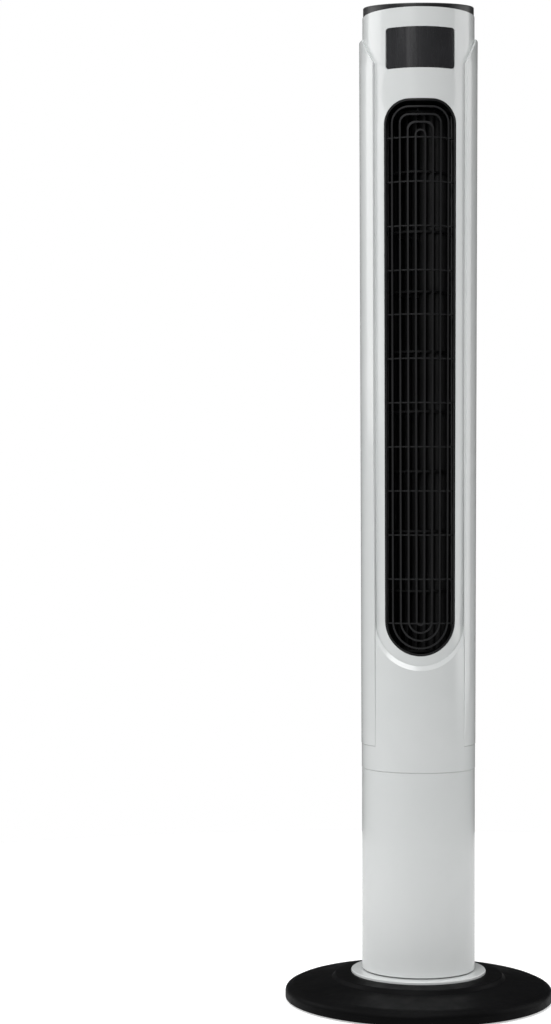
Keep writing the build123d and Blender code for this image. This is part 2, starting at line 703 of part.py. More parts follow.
collar_group = []
for screw_angle in COLLAR_SCREW_DEGS:
    for screw_z in (SEAM_Z - COLLAR_SCREW_STEP, SEAM_Z + COLLAR_SCREW_STEP):
        seat_plane = radial_plane(COLUMN_R - 1.6, screw_angle, screw_z)
        collar_group.append(screw(3.3, 1.5, 1.5, 6.5, seat_plane))
# The pad is the proud front face below the outlet. Its top edge is a wide
# U-shaped bevel, which runs into the sides of the recess.
LIP_R = 52.6
LIP_BEVEL_DEPTH = 2.4
LIP_BEVEL_HEIGHT = 5.5
LIP_CENTER_Z = OUTLET_LOW_Z + OUTLET_LOW_HALF

with BuildPart() as front_pad:
    with BuildSketch(Plane.XY.offset(LOW_RING_TOP_Z - 6)):
        Circle(PAD_R)
        Circle(PANEL_LOW_R - FIT / 2, mode=Mode.SUBTRACT)
        with Locations((0, BASE_R / 2 - 20)):
            Rectangle(2 * BASE_R, BASE_R, mode=Mode.SUBTRACT)
        with Locations((RECESS_HALF + BASE_R / 2, 0), (-RECESS_HALF - BASE_R / 2, 0)):
            Rectangle(BASE_R, 2 * BASE_R, mode=Mode.SUBTRACT)
    extrude(amount=LIP_CENTER_Z - LOW_RING_TOP_Z + 6)
    with BuildSketch(Plane.XZ):
        with Locations((0, LIP_CENTER_Z)):
            Circle(LIP_R)
    extrude(amount=BASE_R, mode=Mode.SUBTRACT)
    lip_edge = front_pad.edges().filter_by(GeomType.BSPLINE).sort_by(Axis.Y)[0]
    pad_face = front_pad.faces().filter_by(GeomType.CYLINDER).sort_by(Axis.Y)[0]
    chamfer(lip_edge, length=LIP_BEVEL_HEIGHT, length2=LIP_BEVEL_DEPTH, reference=pad_face)

with BuildPart() as front_blank:
    add(revolved([
        (PANEL_LOW_R - 0.1, SEAM_Z),
        (PAD_R, SEAM_Z),
        (PAD_R, LOW_RING_TOP_Z),
        (PANEL_LOW_R, LOW_RING_TOP_Z),
        (PANEL_LOW_R, PANEL_LOW_Z),
        (NECK_R, PANEL_HIGH_Z),
        (NECK_R, NECK_TOP_Z),
        (NECK_R - FRONT_WALL, NECK_TOP_Z),
        (NECK_R - FRONT_WALL, PANEL_HIGH_Z),
        (PANEL_LOW_R - FRONT_WALL, PANEL_LOW_Z),
        (PANEL_LOW_R - FRONT_WALL, LOW_WALL_TOP_Z),
        (PANEL_LOW_R - FRONT_WALL + 0.2, LOW_RING_TOP_Z + 3),
        (PANEL_LOW_R - 0.1, LOW_RING_TOP_Z - 3),
    ]))
    seam_rim = front_blank.edges().filter_by(GeomType.CIRCLE).group_by(Axis.Z)[0]
    chamfer(seam_rim.group_by(SortBy.RADIUS)[-1], length=0.7)
    add(front_pad.part)
    with BuildSketch(Plane.XZ):
        add(outlet_face(0))
    extrude(amount=BASE_R, mode=Mode.SUBTRACT)
    with BuildSketch(Plane.XY.offset(REAR_WINDOW_LOW_Z)):
        with BuildLine():
            left = on_circle(BASE_R, 90 - REAR_WINDOW_HALF_DEG)
            right = on_circle(BASE_R, 90 + REAR_WINDOW_HALF_DEG)
            Polyline((0, 0), left, (left[0], BASE_R), (right[0], BASE_R), right, close=True)
        make_face()
    extrude(amount=REAR_WINDOW_TOP_Z - REAR_WINDOW_LOW_Z, mode=Mode.SUBTRACT)
    for angle in COLLAR_SCREW_DEGS:
        with BuildSketch(radial_plane(COLUMN_R + 1, angle, SEAM_Z + COLLAR_SCREW_STEP)):
            Circle(SCREW_HOLE_R)
        extrude(amount=-10, mode=Mode.SUBTRACT)
        with BuildSketch(radial_plane(COLUMN_R + 1, angle, SEAM_Z + COLLAR_SCREW_STEP)):
            Circle(SCREW_HEAD_BORE_R)
        extrude(amount=-2.6, mode=Mode.SUBTRACT)


def window_block(outer_r, inner_r, grow):
    """A rounded rectangular piece of the neck's wall, grown by a distance."""
    half = outer_r * sin(radians(WINDOW_HALF_ANGLE)) + grow
    middle_z = (WINDOW_LOW_Z + WINDOW_TOP_Z) / 2
    with BuildPart() as block:
        with BuildSketch(Plane.XZ):
            with Locations((0, middle_z)):
                RectangleRounded(2 * half, WINDOW_TOP_Z - WINDOW_LOW_Z + 2 * grow, WINDOW_CORNER_R + grow)
        extrude(amount=BASE_R)
        with BuildSketch(Plane.XY.offset(WINDOW_LOW_Z - 10)):
            Circle(outer_r)
            Circle(inner_r, mode=Mode.SUBTRACT)
        extrude(amount=WINDOW_TOP_Z - WINDOW_LOW_Z + 20, mode=Mode.INTERSECT)
    return block.part


WINDOW_THICK = 1.8
WINDOW_LEDGE = 3.0
with BuildPart() as display_window:
    add(window_block(NECK_R - 0.25, NECK_R - 0.25 - WINDOW_THICK, -0.2))
display_window.part.label = "display_window"
export_step(display_window.part, "parts/display_window.step")

with BuildPart() as front_housing:
    add(front_blank.part)
    add(window_block(NECK_R + 1, NECK_R - 0.35 - WINDOW_THICK, 0.0), mode=Mode.SUBTRACT)
    add(window_block(NECK_R + 1, NECK_R - 6, -WINDOW_LEDGE), mode=Mode.SUBTRACT)
    for screw_z in HOUSING_SCREW_ZS:
        for screw_deg in (HOUSING_SCREW_DEG, 180 - HOUSING_SCREW_DEG):
            with BuildSketch(radial_plane(NECK_R - 12, screw_deg, screw_z)):
                Circle(1.6)
            extrude(amount=16, mode=Mode.SUBTRACT)
front_housing.part.label = "front_housing"
export_step(front_housing.part, "parts/front_housing.step")

# The rear shell wraps the back and the sides. Its front edges are bevelled,
# and its top slants down from the sides to the front edges.
SLOT_WIDTH = 3.4
SLOT_HEIGHT = 96.0
SLOT_ROWS = 6
SLOT_COLUMNS = 15
SLOT_SPAN_DEG = 92.0
SLOT_FIRST_DEG = 90 - SLOT_SPAN_DEG / 2
SLOT_FIRST_Z = 430.0
SLOT_PITCH_Z = 106.0
WRAP_BEVEL = 45.0
# The shoulders of the shell are cut along a slanting plane that also leans
# back, so that the cut face shows from the front.
DIAGONAL_SLOPE = 1.3
DIAGONAL_LEAN = 0.574
DIAGONAL_FRONT = 44.0
DIAGONAL_REACH = 80.0
DIAGONAL_END_X = 2 * RECESS_HALF
# Height and y of the line where each front edge of the shell turns into its
# bevel. It starts at the face of the pad and runs back to that of the recess.
WRAP_EDGE_SECTIONS = (
    (WRAP_LOW_Z - 1, -43.4),
    (640.0, -40.2),
    (WRAP_TOP_Z + 1, -40.2),
)

with BuildPart() as rear_housing:
    add(revolved([
        (PANEL_LOW_R + FIT, WRAP_LOW_Z),
        (WRAP_LOW_R, WRAP_LOW_Z),
        (WRAP_TOP_R, WRAP_TOP_Z),
        (NECK_R + FIT, WRAP_TOP_Z),
        (NECK_R + FIT, PANEL_HIGH_Z),
        (PANEL_LOW_R + FIT, PANEL_LOW_Z),
    ]))
    outer_rims = rear_housing.edges().filter_by(GeomType.CIRCLE)
    chamfer(outer_rims.group_by(Axis.Z)[0].group_by(SortBy.RADIUS)[-1], length=0.8)
    chamfer(outer_rims.group_by(Axis.Z)[-1].group_by(SortBy.RADIUS)[-1], length=1.6)
    for section_z, edge_y in WRAP_EDGE_SECTIONS:
        with BuildSketch(Plane.XY.offset(section_z)):
            with BuildLine():
                Polyline(
                    (-RECESS_HALF, 0),
                    (-RECESS_HALF, edge_y),
                    (-RECESS_HALF - WRAP_BEVEL, edge_y - WRAP_BEVEL),
                    (RECESS_HALF + WRAP_BEVEL, edge_y - WRAP_BEVEL),
                    (RECESS_HALF, edge_y),
                    (RECESS_HALF, 0),
                    close=True,
                )
            make_face()
    loft(ruled=True, mode=Mode.SUBTRACT)
    for depth in (0, DIAGONAL_REACH):
        low_z = WRAP_DIAGONAL_LOW_Z + DIAGONAL_LEAN * (DIAGONAL_FRONT - depth)
        high_z = low_z + DIAGONAL_SLOPE * (DIAGONAL_END_X - RECESS_HALF)
        with BuildSketch(Plane.XZ.offset(depth)):
            with BuildLine():
                Polyline(
                    (-DIAGONAL_END_X, high_z),
                    (-RECESS_HALF, low_z),
                    (RECESS_HALF, low_z),
                    (DIAGONAL_END_X, high_z),
                    close=True,
                )
            make_face()
    loft(ruled=True, mode=Mode.SUBTRACT)
    for row in range(SLOT_ROWS):
        with BuildSketch(Plane.XY.offset(SLOT_FIRST_Z + SLOT_PITCH_Z * row)):
            with PolarLocations(NECK_R, SLOT_COLUMNS, SLOT_FIRST_DEG, SLOT_SPAN_DEG, endpoint=True):
                Rectangle(24, SLOT_WIDTH)
        extrude(amount=SLOT_HEIGHT, mode=Mode.SUBTRACT)
    for screw_z in HOUSING_SCREW_ZS:
        for screw_deg in (HOUSING_SCREW_DEG, 180 - HOUSING_SCREW_DEG):
            with BuildSketch(radial_plane(NECK_R - 8, screw_deg, screw_z)):
                Circle(1.8)
            extrude(amount=16, mode=Mode.SUBTRACT)
            with BuildSketch(radial_plane(panel_radius(screw_z) + 2.2, screw_deg, screw_z)):
                Circle(3.8)
            extrude(amount=16, mode=Mode.SUBTRACT)
rear_housing.part.label = "rear_housing"
export_step(rear_housing.part, "parts/rear_housing.step")

# --------------------------------------------------------------- body, grille
def rib_prisms():
    """The level ribs, as flat slabs that reach forwards from the axis."""
    with BuildPart() as slabs:
        with BuildSketch(Plane.XZ):
            for index in range(RIB_COUNT):
                with Locations((0, RIB_LOW_Z + index * RIB_PITCH)):
                    Rectangle(2 * (OUTLET_LOW_HALF - 1.0), RIB_HEIGHT)
        extrude(amount=BASE_R)
    return slabs.part


GRILLE_FLANGE = 4.0
GRILLE_LOW_Z = OUTLET_LOW_Z - 8
GRILLE_TOP_Z = OUTLET_TOP_Z + 8

with BuildPart() as grille_bars:
    for loop in range(1, LOOP_COUNT + 1):
        add(loop_prism(loop * LOOP_PITCH - BAR_WIDTH / 2, loop * LOOP_PITCH + BAR_WIDTH / 2))
    add(panel_band(GRILLE_LOW_Z, GRILLE_TOP_Z, 1.2, 6.4), mode=Mode.INTERSECT)

with BuildPart() as grille_ribs:
    add(rib_prisms())
    add(panel_band(GRILLE_LOW_Z, GRILLE_TOP_Z, 2.6, 7.6), mode=Mode.INTERSECT)

with BuildPart() as grille_rim:
    add(loop_prism(0.15, RIM_WIDTH))
    add(panel_band(GRILLE_LOW_Z, GRILLE_TOP_Z, 0.7, 7.6), mode=Mode.INTERSECT)

with BuildPart() as grille_flange:
    add(loop_prism(-GRILLE_FLANGE, RIM_WIDTH))
    add(panel_band(GRILLE_LOW_Z, GRILLE_TOP_Z, FRONT_WALL + 0.15, FRONT_WALL + 2.2), mode=Mode.INTERSECT)

with BuildPart() as front_grille:
    add(grille_rim.part)
    add(grille_flange.part)
    add(grille_bars.part)
    add(grille_ribs.part)
front_grille.part.label = "front_grille"
export_step(front_grille.part, "parts/front_grille.step")

# ------------------------------------------------------------ body, air path
WHEEL_CENTER = (0, WHEEL_Y)
SCROLL_START_DEG = 60.0
SCROLL_END_DEG = 232.0
SCROLL_START_R = 43.5
SCROLL_END_R = 59.5
SCROLL_GROWTH = log(SCROLL_END_R / SCROLL_START_R) / (SCROLL_END_DEG - SCROLL_START_DEG)
SCROLL_POINTS = 7


def scroll_points(extra):
    """Points on the scroll plate's spiral, moved out from the wheel's centre."""
    points = []
    for index in range(SCROLL_POINTS):
        share = index / (SCROLL_POINTS - 1)
        angle = SCROLL_START_DEG + share * (SCROLL_END_DEG - SCROLL_START_DEG)
        radius = SCROLL_START_R * exp(SCROLL_GROWTH * (angle - SCROLL_START_DEG)) + extra
        x, y = on_circle(radius, angle)
        points.append((x, y + WHEEL_Y))
    return points


AIR_LOW_Z = LOW_PARTITION_Z + PARTITION_THICK
LEAD_HOLE_PLACE = (-52, 22)
LEAD_HOLE_R = 4.5
with BuildPart() as scroll_plate:
    with BuildSketch(Plane.XY.offset(AIR_LOW_Z)):
        with BuildLine():
            inner_side = scroll_points(0)
            outer_side = scroll_points(SHEET)
            Spline(*inner_side)
            Line(inner_side[-1], outer_side[-1])
            Spline(*outer_side[::-1])
            Line(outer_side[0], inner_side[0])
        make_face()
    extrude(amount=TOP_PARTITION_Z - AIR_LOW_Z)
scroll_plate.part.label = "scroll_plate"
export_step(scroll_plate.part, "parts/scroll_plate.step")

TONGUE_FRONT = Vector(37.0, -39.5)
TONGUE_MIDDLE = Vector(43.2, -27.0)
TONGUE_BACK = Vector(42.6, -12.0)
TONGUE_SHIFT = Vector(SHEET, 0)
with BuildPart() as tongue_plate:
    with BuildSketch(Plane.XY.offset(AIR_LOW_Z)):
        with BuildLine():
            inner_side = [TONGUE_FRONT, TONGUE_MIDDLE, TONGUE_BACK]
            outer_side = [point + TONGUE_SHIFT for point in inner_side]
            ThreePointArc(*inner_side)
            Line(inner_side[-1], outer_side[-1])
            ThreePointArc(*outer_side[::-1])
            Line(outer_side[0], inner_side[0])
        make_face()
    extrude(amount=TOP_PARTITION_Z - AIR_LOW_Z)
tongue_plate.part.label = "tongue_plate"
export_step(tongue_plate.part, "parts/tongue_plate.step")

HUB_R = 12.0
POST_PLACES = [on_circle(47, angle) for angle in (30, 150, 270)]
with BuildPart() as lower_partition:
    with BuildSketch(Plane.XY.offset(LOW_PARTITION_Z)):
        Circle(PARTITION_R)
        with Locations(WHEEL_CENTER):
            Circle(HUB_R + 3, mode=Mode.SUBTRACT)
        with Locations(*POST_PLACES):
            Circle(1.8, mode=Mode.SUBTRACT)
        with Locations(LEAD_HOLE_PLACE):
            Circle(LEAD_HOLE_R, mode=Mode.SUBTRACT)
    extrude(amount=PARTITION_THICK)
lower_partition.part.label = "lower_partition"
export_step(lower_partition.part, "parts/lower_partition.step")

CUP_R = 17.0
CUSHION_R = 14.0
SLEEVE_R = 8.0
AXLE_R = 3.0
CUP_TOP_Z = TOP_PARTITION_Z + PARTITION_THICK + 14
with BuildPart() as upper_partition:
    with BuildSketch(Plane.XY.offset(TOP_PARTITION_Z)):
        Circle(PARTITION_R)
        with Locations(LEAD_HOLE_PLACE):
            Circle(LEAD_HOLE_R, mode=Mode.SUBTRACT)
    extrude(amount=PARTITION_THICK)
    with BuildSketch(Plane.XY.offset(TOP_PARTITION_Z + PARTITION_THICK)):
        with Locations(WHEEL_CENTER):
            Circle(CUP_R)
    extrude(amount=CUP_TOP_Z - TOP_PARTITION_Z - PARTITION_THICK)
    with BuildSketch(Plane.XY.offset(TOP_PARTITION_Z + PARTITION_THICK)):
        with Locations(WHEEL_CENTER):
            Circle(CUSHION_R)
    extrude(amount=CUP_TOP_Z, mode=Mode.SUBTRACT)
    with BuildSketch(Plane.XY.offset(TOP_PARTITION_Z)):
        with Locations(WHEEL_CENTER):
            Circle(AXLE_R + 2)
    extrude(amount=CUP_TOP_Z, mode=Mode.SUBTRACT)
upper_partition.part.label = "upper_partition"
export_step(upper_partition.part, "parts/upper_partition.step")

BEARING_LOW_Z = TOP_PARTITION_Z + PARTITION_THICK
bearing_cushion = ring(CUSHION_R, SLEEVE_R, BEARING_LOW_Z, CUP_TOP_Z - 1, WHEEL_CENTER)
bearing_cushion.label = "bearing_cushion"
export_step(bearing_cushion, "parts/bearing_cushion.step")

bearing_sleeve = ring(SLEEVE_R, AXLE_R + FIT / 2, BEARING_LOW_Z, CUP_TOP_Z - 1, WHEEL_CENTER)
bearing_sleeve.label = "bearing_sleeve"
export_step(bearing_sleeve, "parts/bearing_sleeve.step")

# ---------------------------------------------------------------- wheel
SHAFT_R = 4.0
BLADE_TIP_DEG = 9.0
BLADE_BELLY_DEG = 2.2


def blade_point(radius, angle_deg, across):
    """A point on a blade's centre line, moved across its thickness."""
    x, y = on_circle(radius, angle_deg)
    return (x, y + across)


BLADE_TIP_R = WHEEL_R - 0.6
with BuildSketch() as blade_face:
    with BuildLine():
        ThreePointArc(
            blade_point(BLADE_INNER_R, 0, 0),
            blade_point(BLADE_INNER_R + 5, BLADE_BELLY_DEG, 0),
            blade_point(BLADE_TIP_R, BLADE_TIP_DEG, 0),
        )
        Line(blade_point(BLADE_TIP_R, BLADE_TIP_DEG, 0), blade_point(BLADE_TIP_R, BLADE_TIP_DEG, BLADE_THICK))
        ThreePointArc(
            blade_point(BLADE_TIP_R, BLADE_TIP_DEG, BLADE_THICK),
            blade_point(BLADE_INNER_R + 5, BLADE_BELLY_DEG, BLADE_THICK),
            blade_point(BLADE_INNER_R, 0, BLADE_THICK),
        )
        Line(blade_point(BLADE_INNER_R, 0, BLADE_THICK), blade_point(BLADE_INNER_R, 0, 0))
    make_face()

with BuildPart() as fan_wheel:
    for index in range(DISC_COUNT):
        disc_z = WHEEL_LOW_Z + index * (WHEEL_TOP_Z - WHEEL_LOW_Z - DISC_THICK) / (DISC_COUNT - 1)
        with BuildSketch(Plane.XY.offset(disc_z)):
            with Locations(WHEEL_CENTER):
                Circle(WHEEL_R)
                Circle(BLADE_INNER_R - 3 if 0 < index < DISC_COUNT - 1 else SHAFT_R, mode=Mode.SUBTRACT)
        extrude(amount=DISC_THICK)
    with BuildSketch(Plane(origin=(0, WHEEL_Y, WHEEL_LOW_Z + 1))):
        with PolarLocations(0, BLADE_COUNT):
            add(blade_face.sketch)
    extrude(amount=WHEEL_TOP_Z - WHEEL_LOW_Z - 2)
fan_wheel.part.label = "fan_wheel"
export_step(fan_wheel.part, "parts/fan_wheel.step")

with BuildPart() as wheel_hub:
    with BuildSketch(Plane.XY.offset(LOW_PARTITION_Z - 4)):
        with Locations(WHEEL_CENTER):
            Circle(HUB_R)
    extrude(amount=WHEEL_LOW_Z - LOW_PARTITION_Z + 4)
    with BuildSketch(Plane.XY.offset(WHEEL_LOW_Z - 2.5)):
        with Locations(WHEEL_CENTER):
            Circle(HUB_R + 8)
    extrude(amount=2.5)
    with BuildSketch(Plane.XY.offset(LOW_PARTITION_Z - 5)):
        with Locations(WHEEL_CENTER):
            Circle(SHAFT_R)
    extrude(amount=20, mode=Mode.SUBTRACT)
    with BuildSketch(Plane.YZ.offset(SHAFT_R - 1)):
        with Locations((WHEEL_Y, LOW_PARTITION_Z)):
            Circle(1.6)
    extrude(amount=HUB_R, mode=Mode.SUBTRACT)
wheel_hub.part.label = "wheel_hub"
export_step(wheel_hub.part, "parts/wheel_hub.step")

with BuildPart() as hub_screw:
    with BuildSketch(Plane.YZ.offset(SHAFT_R)):
        with Locations((WHEEL_Y, LOW_PARTITION_Z)):
            Circle(1.55)
            RegularPolygon(radius=0.8, side_count=6, mode=Mode.SUBTRACT)
    extrude(amount=6)
hub_screw.part.label = "hub_screw"
export_step(hub_screw.part, "parts/hub_screw.step")

with BuildPart() as wheel_axle:
    with BuildSketch(Plane.XY.offset(WHEEL_TOP_Z - DISC_THICK)):
        with Locations(WHEEL_CENTER):
            Circle(SHAFT_R)
    extrude(amount=DISC_THICK + 4)
    with BuildSketch(Plane.XY.offset(WHEEL_TOP_Z)):
        with Locations(WHEEL_CENTER):
            Circle(HUB_R)
    extrude(amount=4)
    with BuildSketch(Plane.XY.offset(WHEEL_TOP_Z + 4)):
        with Locations(WHEEL_CENTER):
            Circle(AXLE_R)
    extrude(amount=CUP_TOP_Z - WHEEL_TOP_Z - 5)
    chamfer(wheel_axle.faces().sort_by(Axis.Z)[-1].edges(), length=0.5)
wheel_axle.part.label = "wheel_axle"
export_step(wheel_axle.part, "parts/wheel_axle.step")

# ------------------------------------------------------------- blower motor
STATOR_LOW_Z = 345.0
STATOR_TOP_Z = 370.0
STATOR_HALF = 35.0
STATOR_CORNER_R = 14.0
BELL_R = 31.0
BELL_HEIGHT = 22.0
BELL_WALL = 1.2
BELL_FLANGE = 1.5
ROTOR_R = 15.6
BORE_R = 16.0
BOLT_OFFSET = 29.0
BOLT_HOLE_R = 1.9
BEARING_R = 7.0
BEARING_HEIGHT = 7.0
CRADLE_Z = 396.0
MOTOR_BOLTS = [
    (-BOLT_OFFSET, WHEEL_Y - BOLT_OFFSET), (BOLT_OFFSET, WHEEL_Y - BOLT_OFFSET),
    (-BOLT_OFFSET, WHEEL_Y + BOLT_OFFSET), (BOLT_OFFSET, WHEEL_Y + BOLT_OFFSET),
]

with BuildPart() as motor_stator:
    with BuildSketch(Plane.XY.offset(STATOR_LOW_Z)):
        with Locations(WHEEL_CENTER):
            RectangleRounded(2 * STATOR_HALF, 2 * STATOR_HALF, STATOR_CORNER_R)
            Circle(BORE_R, mode=Mode.SUBTRACT)
        with Locations(*MOTOR_BOLTS):
            Circle(BOLT_HOLE_R, mode=Mode.SUBTRACT)
    extrude(amount=STATOR_TOP_Z - STATOR_LOW_Z)
motor_stator.part.label = "motor_stator"
export_step(motor_stator.part, "parts/motor_stator.step")

WINDING_R = 28.0
WINDING_BORE_R = 18.0
WINDING_HEIGHT = 12.0
with BuildPart() as motor_windings:
    for low_z in (STATOR_LOW_Z - WINDING_HEIGHT, STATOR_TOP_Z):
        with BuildSketch(Plane.XY.offset(low_z)):
            with Locations(WHEEL_CENTER):
                Circle(WINDING_R)
                Circle(WINDING_BORE_R, mode=Mode.SUBTRACT)
        extrude(amount=WINDING_HEIGHT)
motor_windings.part.label = "motor_windings"
export_step(motor_windings.part, "parts/motor_windings.step")


def end_bell(flange_z, direction):
    """A drawn steel cup on a square flange, opening towards the stator."""
    with BuildPart() as bell:
        with BuildSketch(Plane.XY.offset(flange_z)):
            with Locations(WHEEL_CENTER):
                RectangleRounded(2 * STATOR_HALF, 2 * STATOR_HALF, STATOR_CORNER_R)
        extrude(amount=direction * BELL_FLANGE)
        with BuildSketch(Plane.XY.offset(flange_z)):
            with Locations(WHEEL_CENTER):
                Circle(BELL_R)
        extrude(amount=direction * BELL_HEIGHT)
        with BuildSketch(Plane.XY.offset(flange_z)):
            with Locations(WHEEL_CENTER):
                Circle(BELL_R - BELL_WALL)
        extrude(amount=direction * (BELL_HEIGHT - BELL_WALL), mode=Mode.SUBTRACT)
        with BuildSketch(Plane.XY.offset(flange_z + direction * (BELL_HEIGHT - BEARING_HEIGHT))):
            with Locations(WHEEL_CENTER):
                Circle(BEARING_R + 1.5)
        extrude(amount=direction * BEARING_HEIGHT)
        with BuildSketch(Plane.XY.offset(flange_z)):
            with Locations(WHEEL_CENTER):
                Circle(BEARING_R)
            with Locations(*MOTOR_BOLTS):
                Circle(BOLT_HOLE_R)
        extrude(amount=direction * BELL_HEIGHT, mode=Mode.SUBTRACT)
        with BuildSketch(Plane.XY.offset(flange_z)):
            with Locations(WHEEL_CENTER):
                with PolarLocations(22, 6):
                    Circle(3.5)
        extrude(amount=direction * BELL_HEIGHT, mode=Mode.SUBTRACT)
    return bell.part


upper_bell = end_bell(STATOR_TOP_Z, 1)
upper_bell.label = "upper_bell"
export_step(upper_bell, "parts/upper_bell.step")

lower_bell = end_bell(STATOR_LOW_Z, -1)
lower_bell.label = "lower_bell"
export_step(lower_bell, "parts/lower_bell.step")

bearing_group = []
for bearing_z in (STATOR_TOP_Z + BELL_HEIGHT - BEARING_HEIGHT, STATOR_LOW_Z - BELL_HEIGHT):
    race = ring(BEARING_R, SHAFT_R + 0.04, bearing_z, bearing_z + BEARING_HEIGHT, WHEEL_CENTER)
    bearing_group.append(race)
motor_bearings = Compound(children=bearing_group)
motor_bearings.label = "motor_bearings"
export_step(motor_bearings, "parts/motor_bearings.step")

motor_rotor = ring(ROTOR_R, SHAFT_R, STATOR_LOW_Z - 2, STATOR_TOP_Z + 2, WHEEL_CENTER)
motor_rotor.label = "motor_rotor"
export_step(motor_rotor, "parts/motor_rotor.step")

with BuildPart() as motor_shaft:
    with BuildSketch(Plane.XY.offset(STATOR_LOW_Z - BELL_HEIGHT - 6)):
        with Locations(WHEEL_CENTER):
            Circle(SHAFT_R)
    extrude(amount=WHEEL_LOW_Z - 1 - STATOR_LOW_Z + BELL_HEIGHT + 6)
    chamfer(motor_shaft.edges(), length=0.5)
motor_shaft.part.label = "motor_shaft"
export_step(motor_shaft.part, "parts/motor_shaft.step")

CRADLE_THICK = 2.5
with BuildPart() as motor_cradle:
    with BuildSketch(Plane.XY.offset(CRADLE_Z)):
        Circle(57)
        with Locations(WHEEL_CENTER):
            Circle(HUB_R + 6, mode=Mode.SUBTRACT)
        with Locations(*MOTOR_BOLTS):
            Circle(BOLT_HOLE_R, mode=Mode.SUBTRACT)
        with Locations(*POST_PLACES):
            Circle(4.1, mode=Mode.SUBTRACT)
    extrude(amount=CRADLE_THICK)
    with BuildSketch(Plane.XY.offset(STATOR_TOP_Z + BELL_FLANGE)):
        with Locations(*MOTOR_BOLTS):
            Circle(3.6)
            Circle(BOLT_HOLE_R, mode=Mode.SUBTRACT)
    extrude(amount=CRADLE_Z - STATOR_TOP_Z - BELL_FLANGE)
motor_cradle.part.label = "motor_cradle"
export_step(motor_cradle.part, "parts/motor_cradle.step")

motor_grommets = []
for place in POST_PLACES:
    below = ring(6.5, 1.8, CRADLE_Z - 3, CRADLE_Z, place)
    neck = ring(4.0, 1.8, CRADLE_Z, CRADLE_Z + CRADLE_THICK, place)
    above = ring(6.5, 1.8, CRADLE_Z + CRADLE_THICK, LOW_PARTITION_Z, place)
    motor_grommets.append(below + neck + above)
cradle_grommets = Compound(children=motor_grommets)
cradle_grommets.label = "cradle_grommets"
export_step(cradle_grommets, "parts/cradle_grommets.step")

cradle_group = []
for place in POST_PLACES:
    head_plane = Plane(origin=(place[0], place[1], CRADLE_Z - 3), x_dir=(1, 0, 0), z_dir=(0, 0, -1))
    cradle_group.append(screw(5.0, 2.2, 1.7, LOW_PARTITION_Z - CRADLE_Z + 5.8, head_plane))
cradle_screws = Compound(children=cradle_group)
cradle_screws.label = "cradle_screws"
export_step(cradle_screws, "parts/cradle_screws.step")

bolt_group = []
for x, y in MOTOR_BOLTS:
    bolt_plane = Plane(origin=(x, y, STATOR_LOW_Z - BELL_FLANGE), x_dir=(1, 0, 0), z_dir=(0, 0, -1))
    bolt_group.append(screw(3.4, 2.4, 1.8, CRADLE_Z + CRADLE_THICK + 1 - STATOR_LOW_Z, bolt_plane))
motor_bolts = Compound(children=bolt_group)
motor_bolts.label = "motor_bolts"
export_step(motor_bolts, "parts/motor_bolts.step")

with BuildPart() as run_capacitor:
    with BuildSketch(Plane.XY.offset(STATOR_LOW_Z - 18)):
        with Locations((0, -47)):
            RectangleRounded(42, 16, 2)
    extrude(amount=30)
    fillet(run_capacitor.faces().sort_by(Axis.Z)[-1].edges(), radius=1)
run_capacitor.part.label = "run_capacitor"
export_step(run_capacitor.part, "parts/run_capacitor.step")

# ----------------------------------------------------------- top, electronics
DISPLAY_Y = -49.0
DISPLAY_LOW_Z = WINDOW_LOW_Z + 4
DISPLAY_TOP_Z = WINDOW_TOP_Z - 3
with BuildPart() as display_board:
    with BuildSketch(Plane.XZ.offset(-DISPLAY_Y)):
        with Locations((0, (DISPLAY_LOW_Z + DISPLAY_TOP_Z) / 2)):
            Rectangle(64, DISPLAY_TOP_Z - DISPLAY_LOW_Z)
    extrude(amount=-PCB_THICK)
display_board.part.label = "display_board"
export_step(display_board.part, "parts/display_board.step")

with BuildPart() as display_parts:
    with BuildSketch(Plane.XZ.offset(-DISPLAY_Y)):
        with Locations((0, (DISPLAY_LOW_Z + DISPLAY_TOP_Z) / 2 + 4)):
            Rectangle(30, 16)
    extrude(amount=8)
    with BuildSketch(Plane.XZ.offset(-DISPLAY_Y)):
        with Locations((25, DISPLAY_LOW_Z + 8)):
            Rectangle(6, 7)
    extrude(amount=5)
    with BuildSketch(Plane.XZ.offset(-DISPLAY_Y + 4)):
        with Locations((25, DISPLAY_LOW_Z + 8.5)):
            Circle(2.4)
    extrude(amount=2.6)
display_parts.part.label = "display_parts"
export_step(display_parts.part, "parts/display_parts.step")

BUTTON_NAMES = ["timer_button", "mode_button", "power_button", "swing_button", "speed_button"]
BUTTON_PLACES = [
    on_circle(BUTTON_CIRCLE_R, 270 + (index - 2) * BUTTON_STEP_DEG) for index in range(5)
]
CAP_PLUG = 8.0
CAP_PLUG_R = NECK_R - FRONT_WALL - 0.15
FLANGE_GAP = 0.35
KEY_FLANGE_THICK = 1.0
PLUNGER_HEIGHT = 1.2
PLUNGER_GAP = 0.3
KEY_DEPTH = CAP_THICK + FLANGE_GAP + KEY_FLANGE_THICK
SWITCH_DEPTH = KEY_DEPTH + BUTTON_TRAVEL + PLUNGER_GAP + PLUNGER_HEIGHT
SWITCH_HEIGHT = 3.5
KEY_BOARD_BACK_Y = -16.0

with BuildPart() as cap_hollow:
    with BuildSketch(Plane.XY.offset(NECK_TOP_Z - CAP_PLUG)):
        Circle(CAP_PLUG_R - 2.2)
    extrude(amount=60)
    split(bisect_by=TOP_PLANE.offset(-CAP_THICK), keep=Keep.BOTTOM)

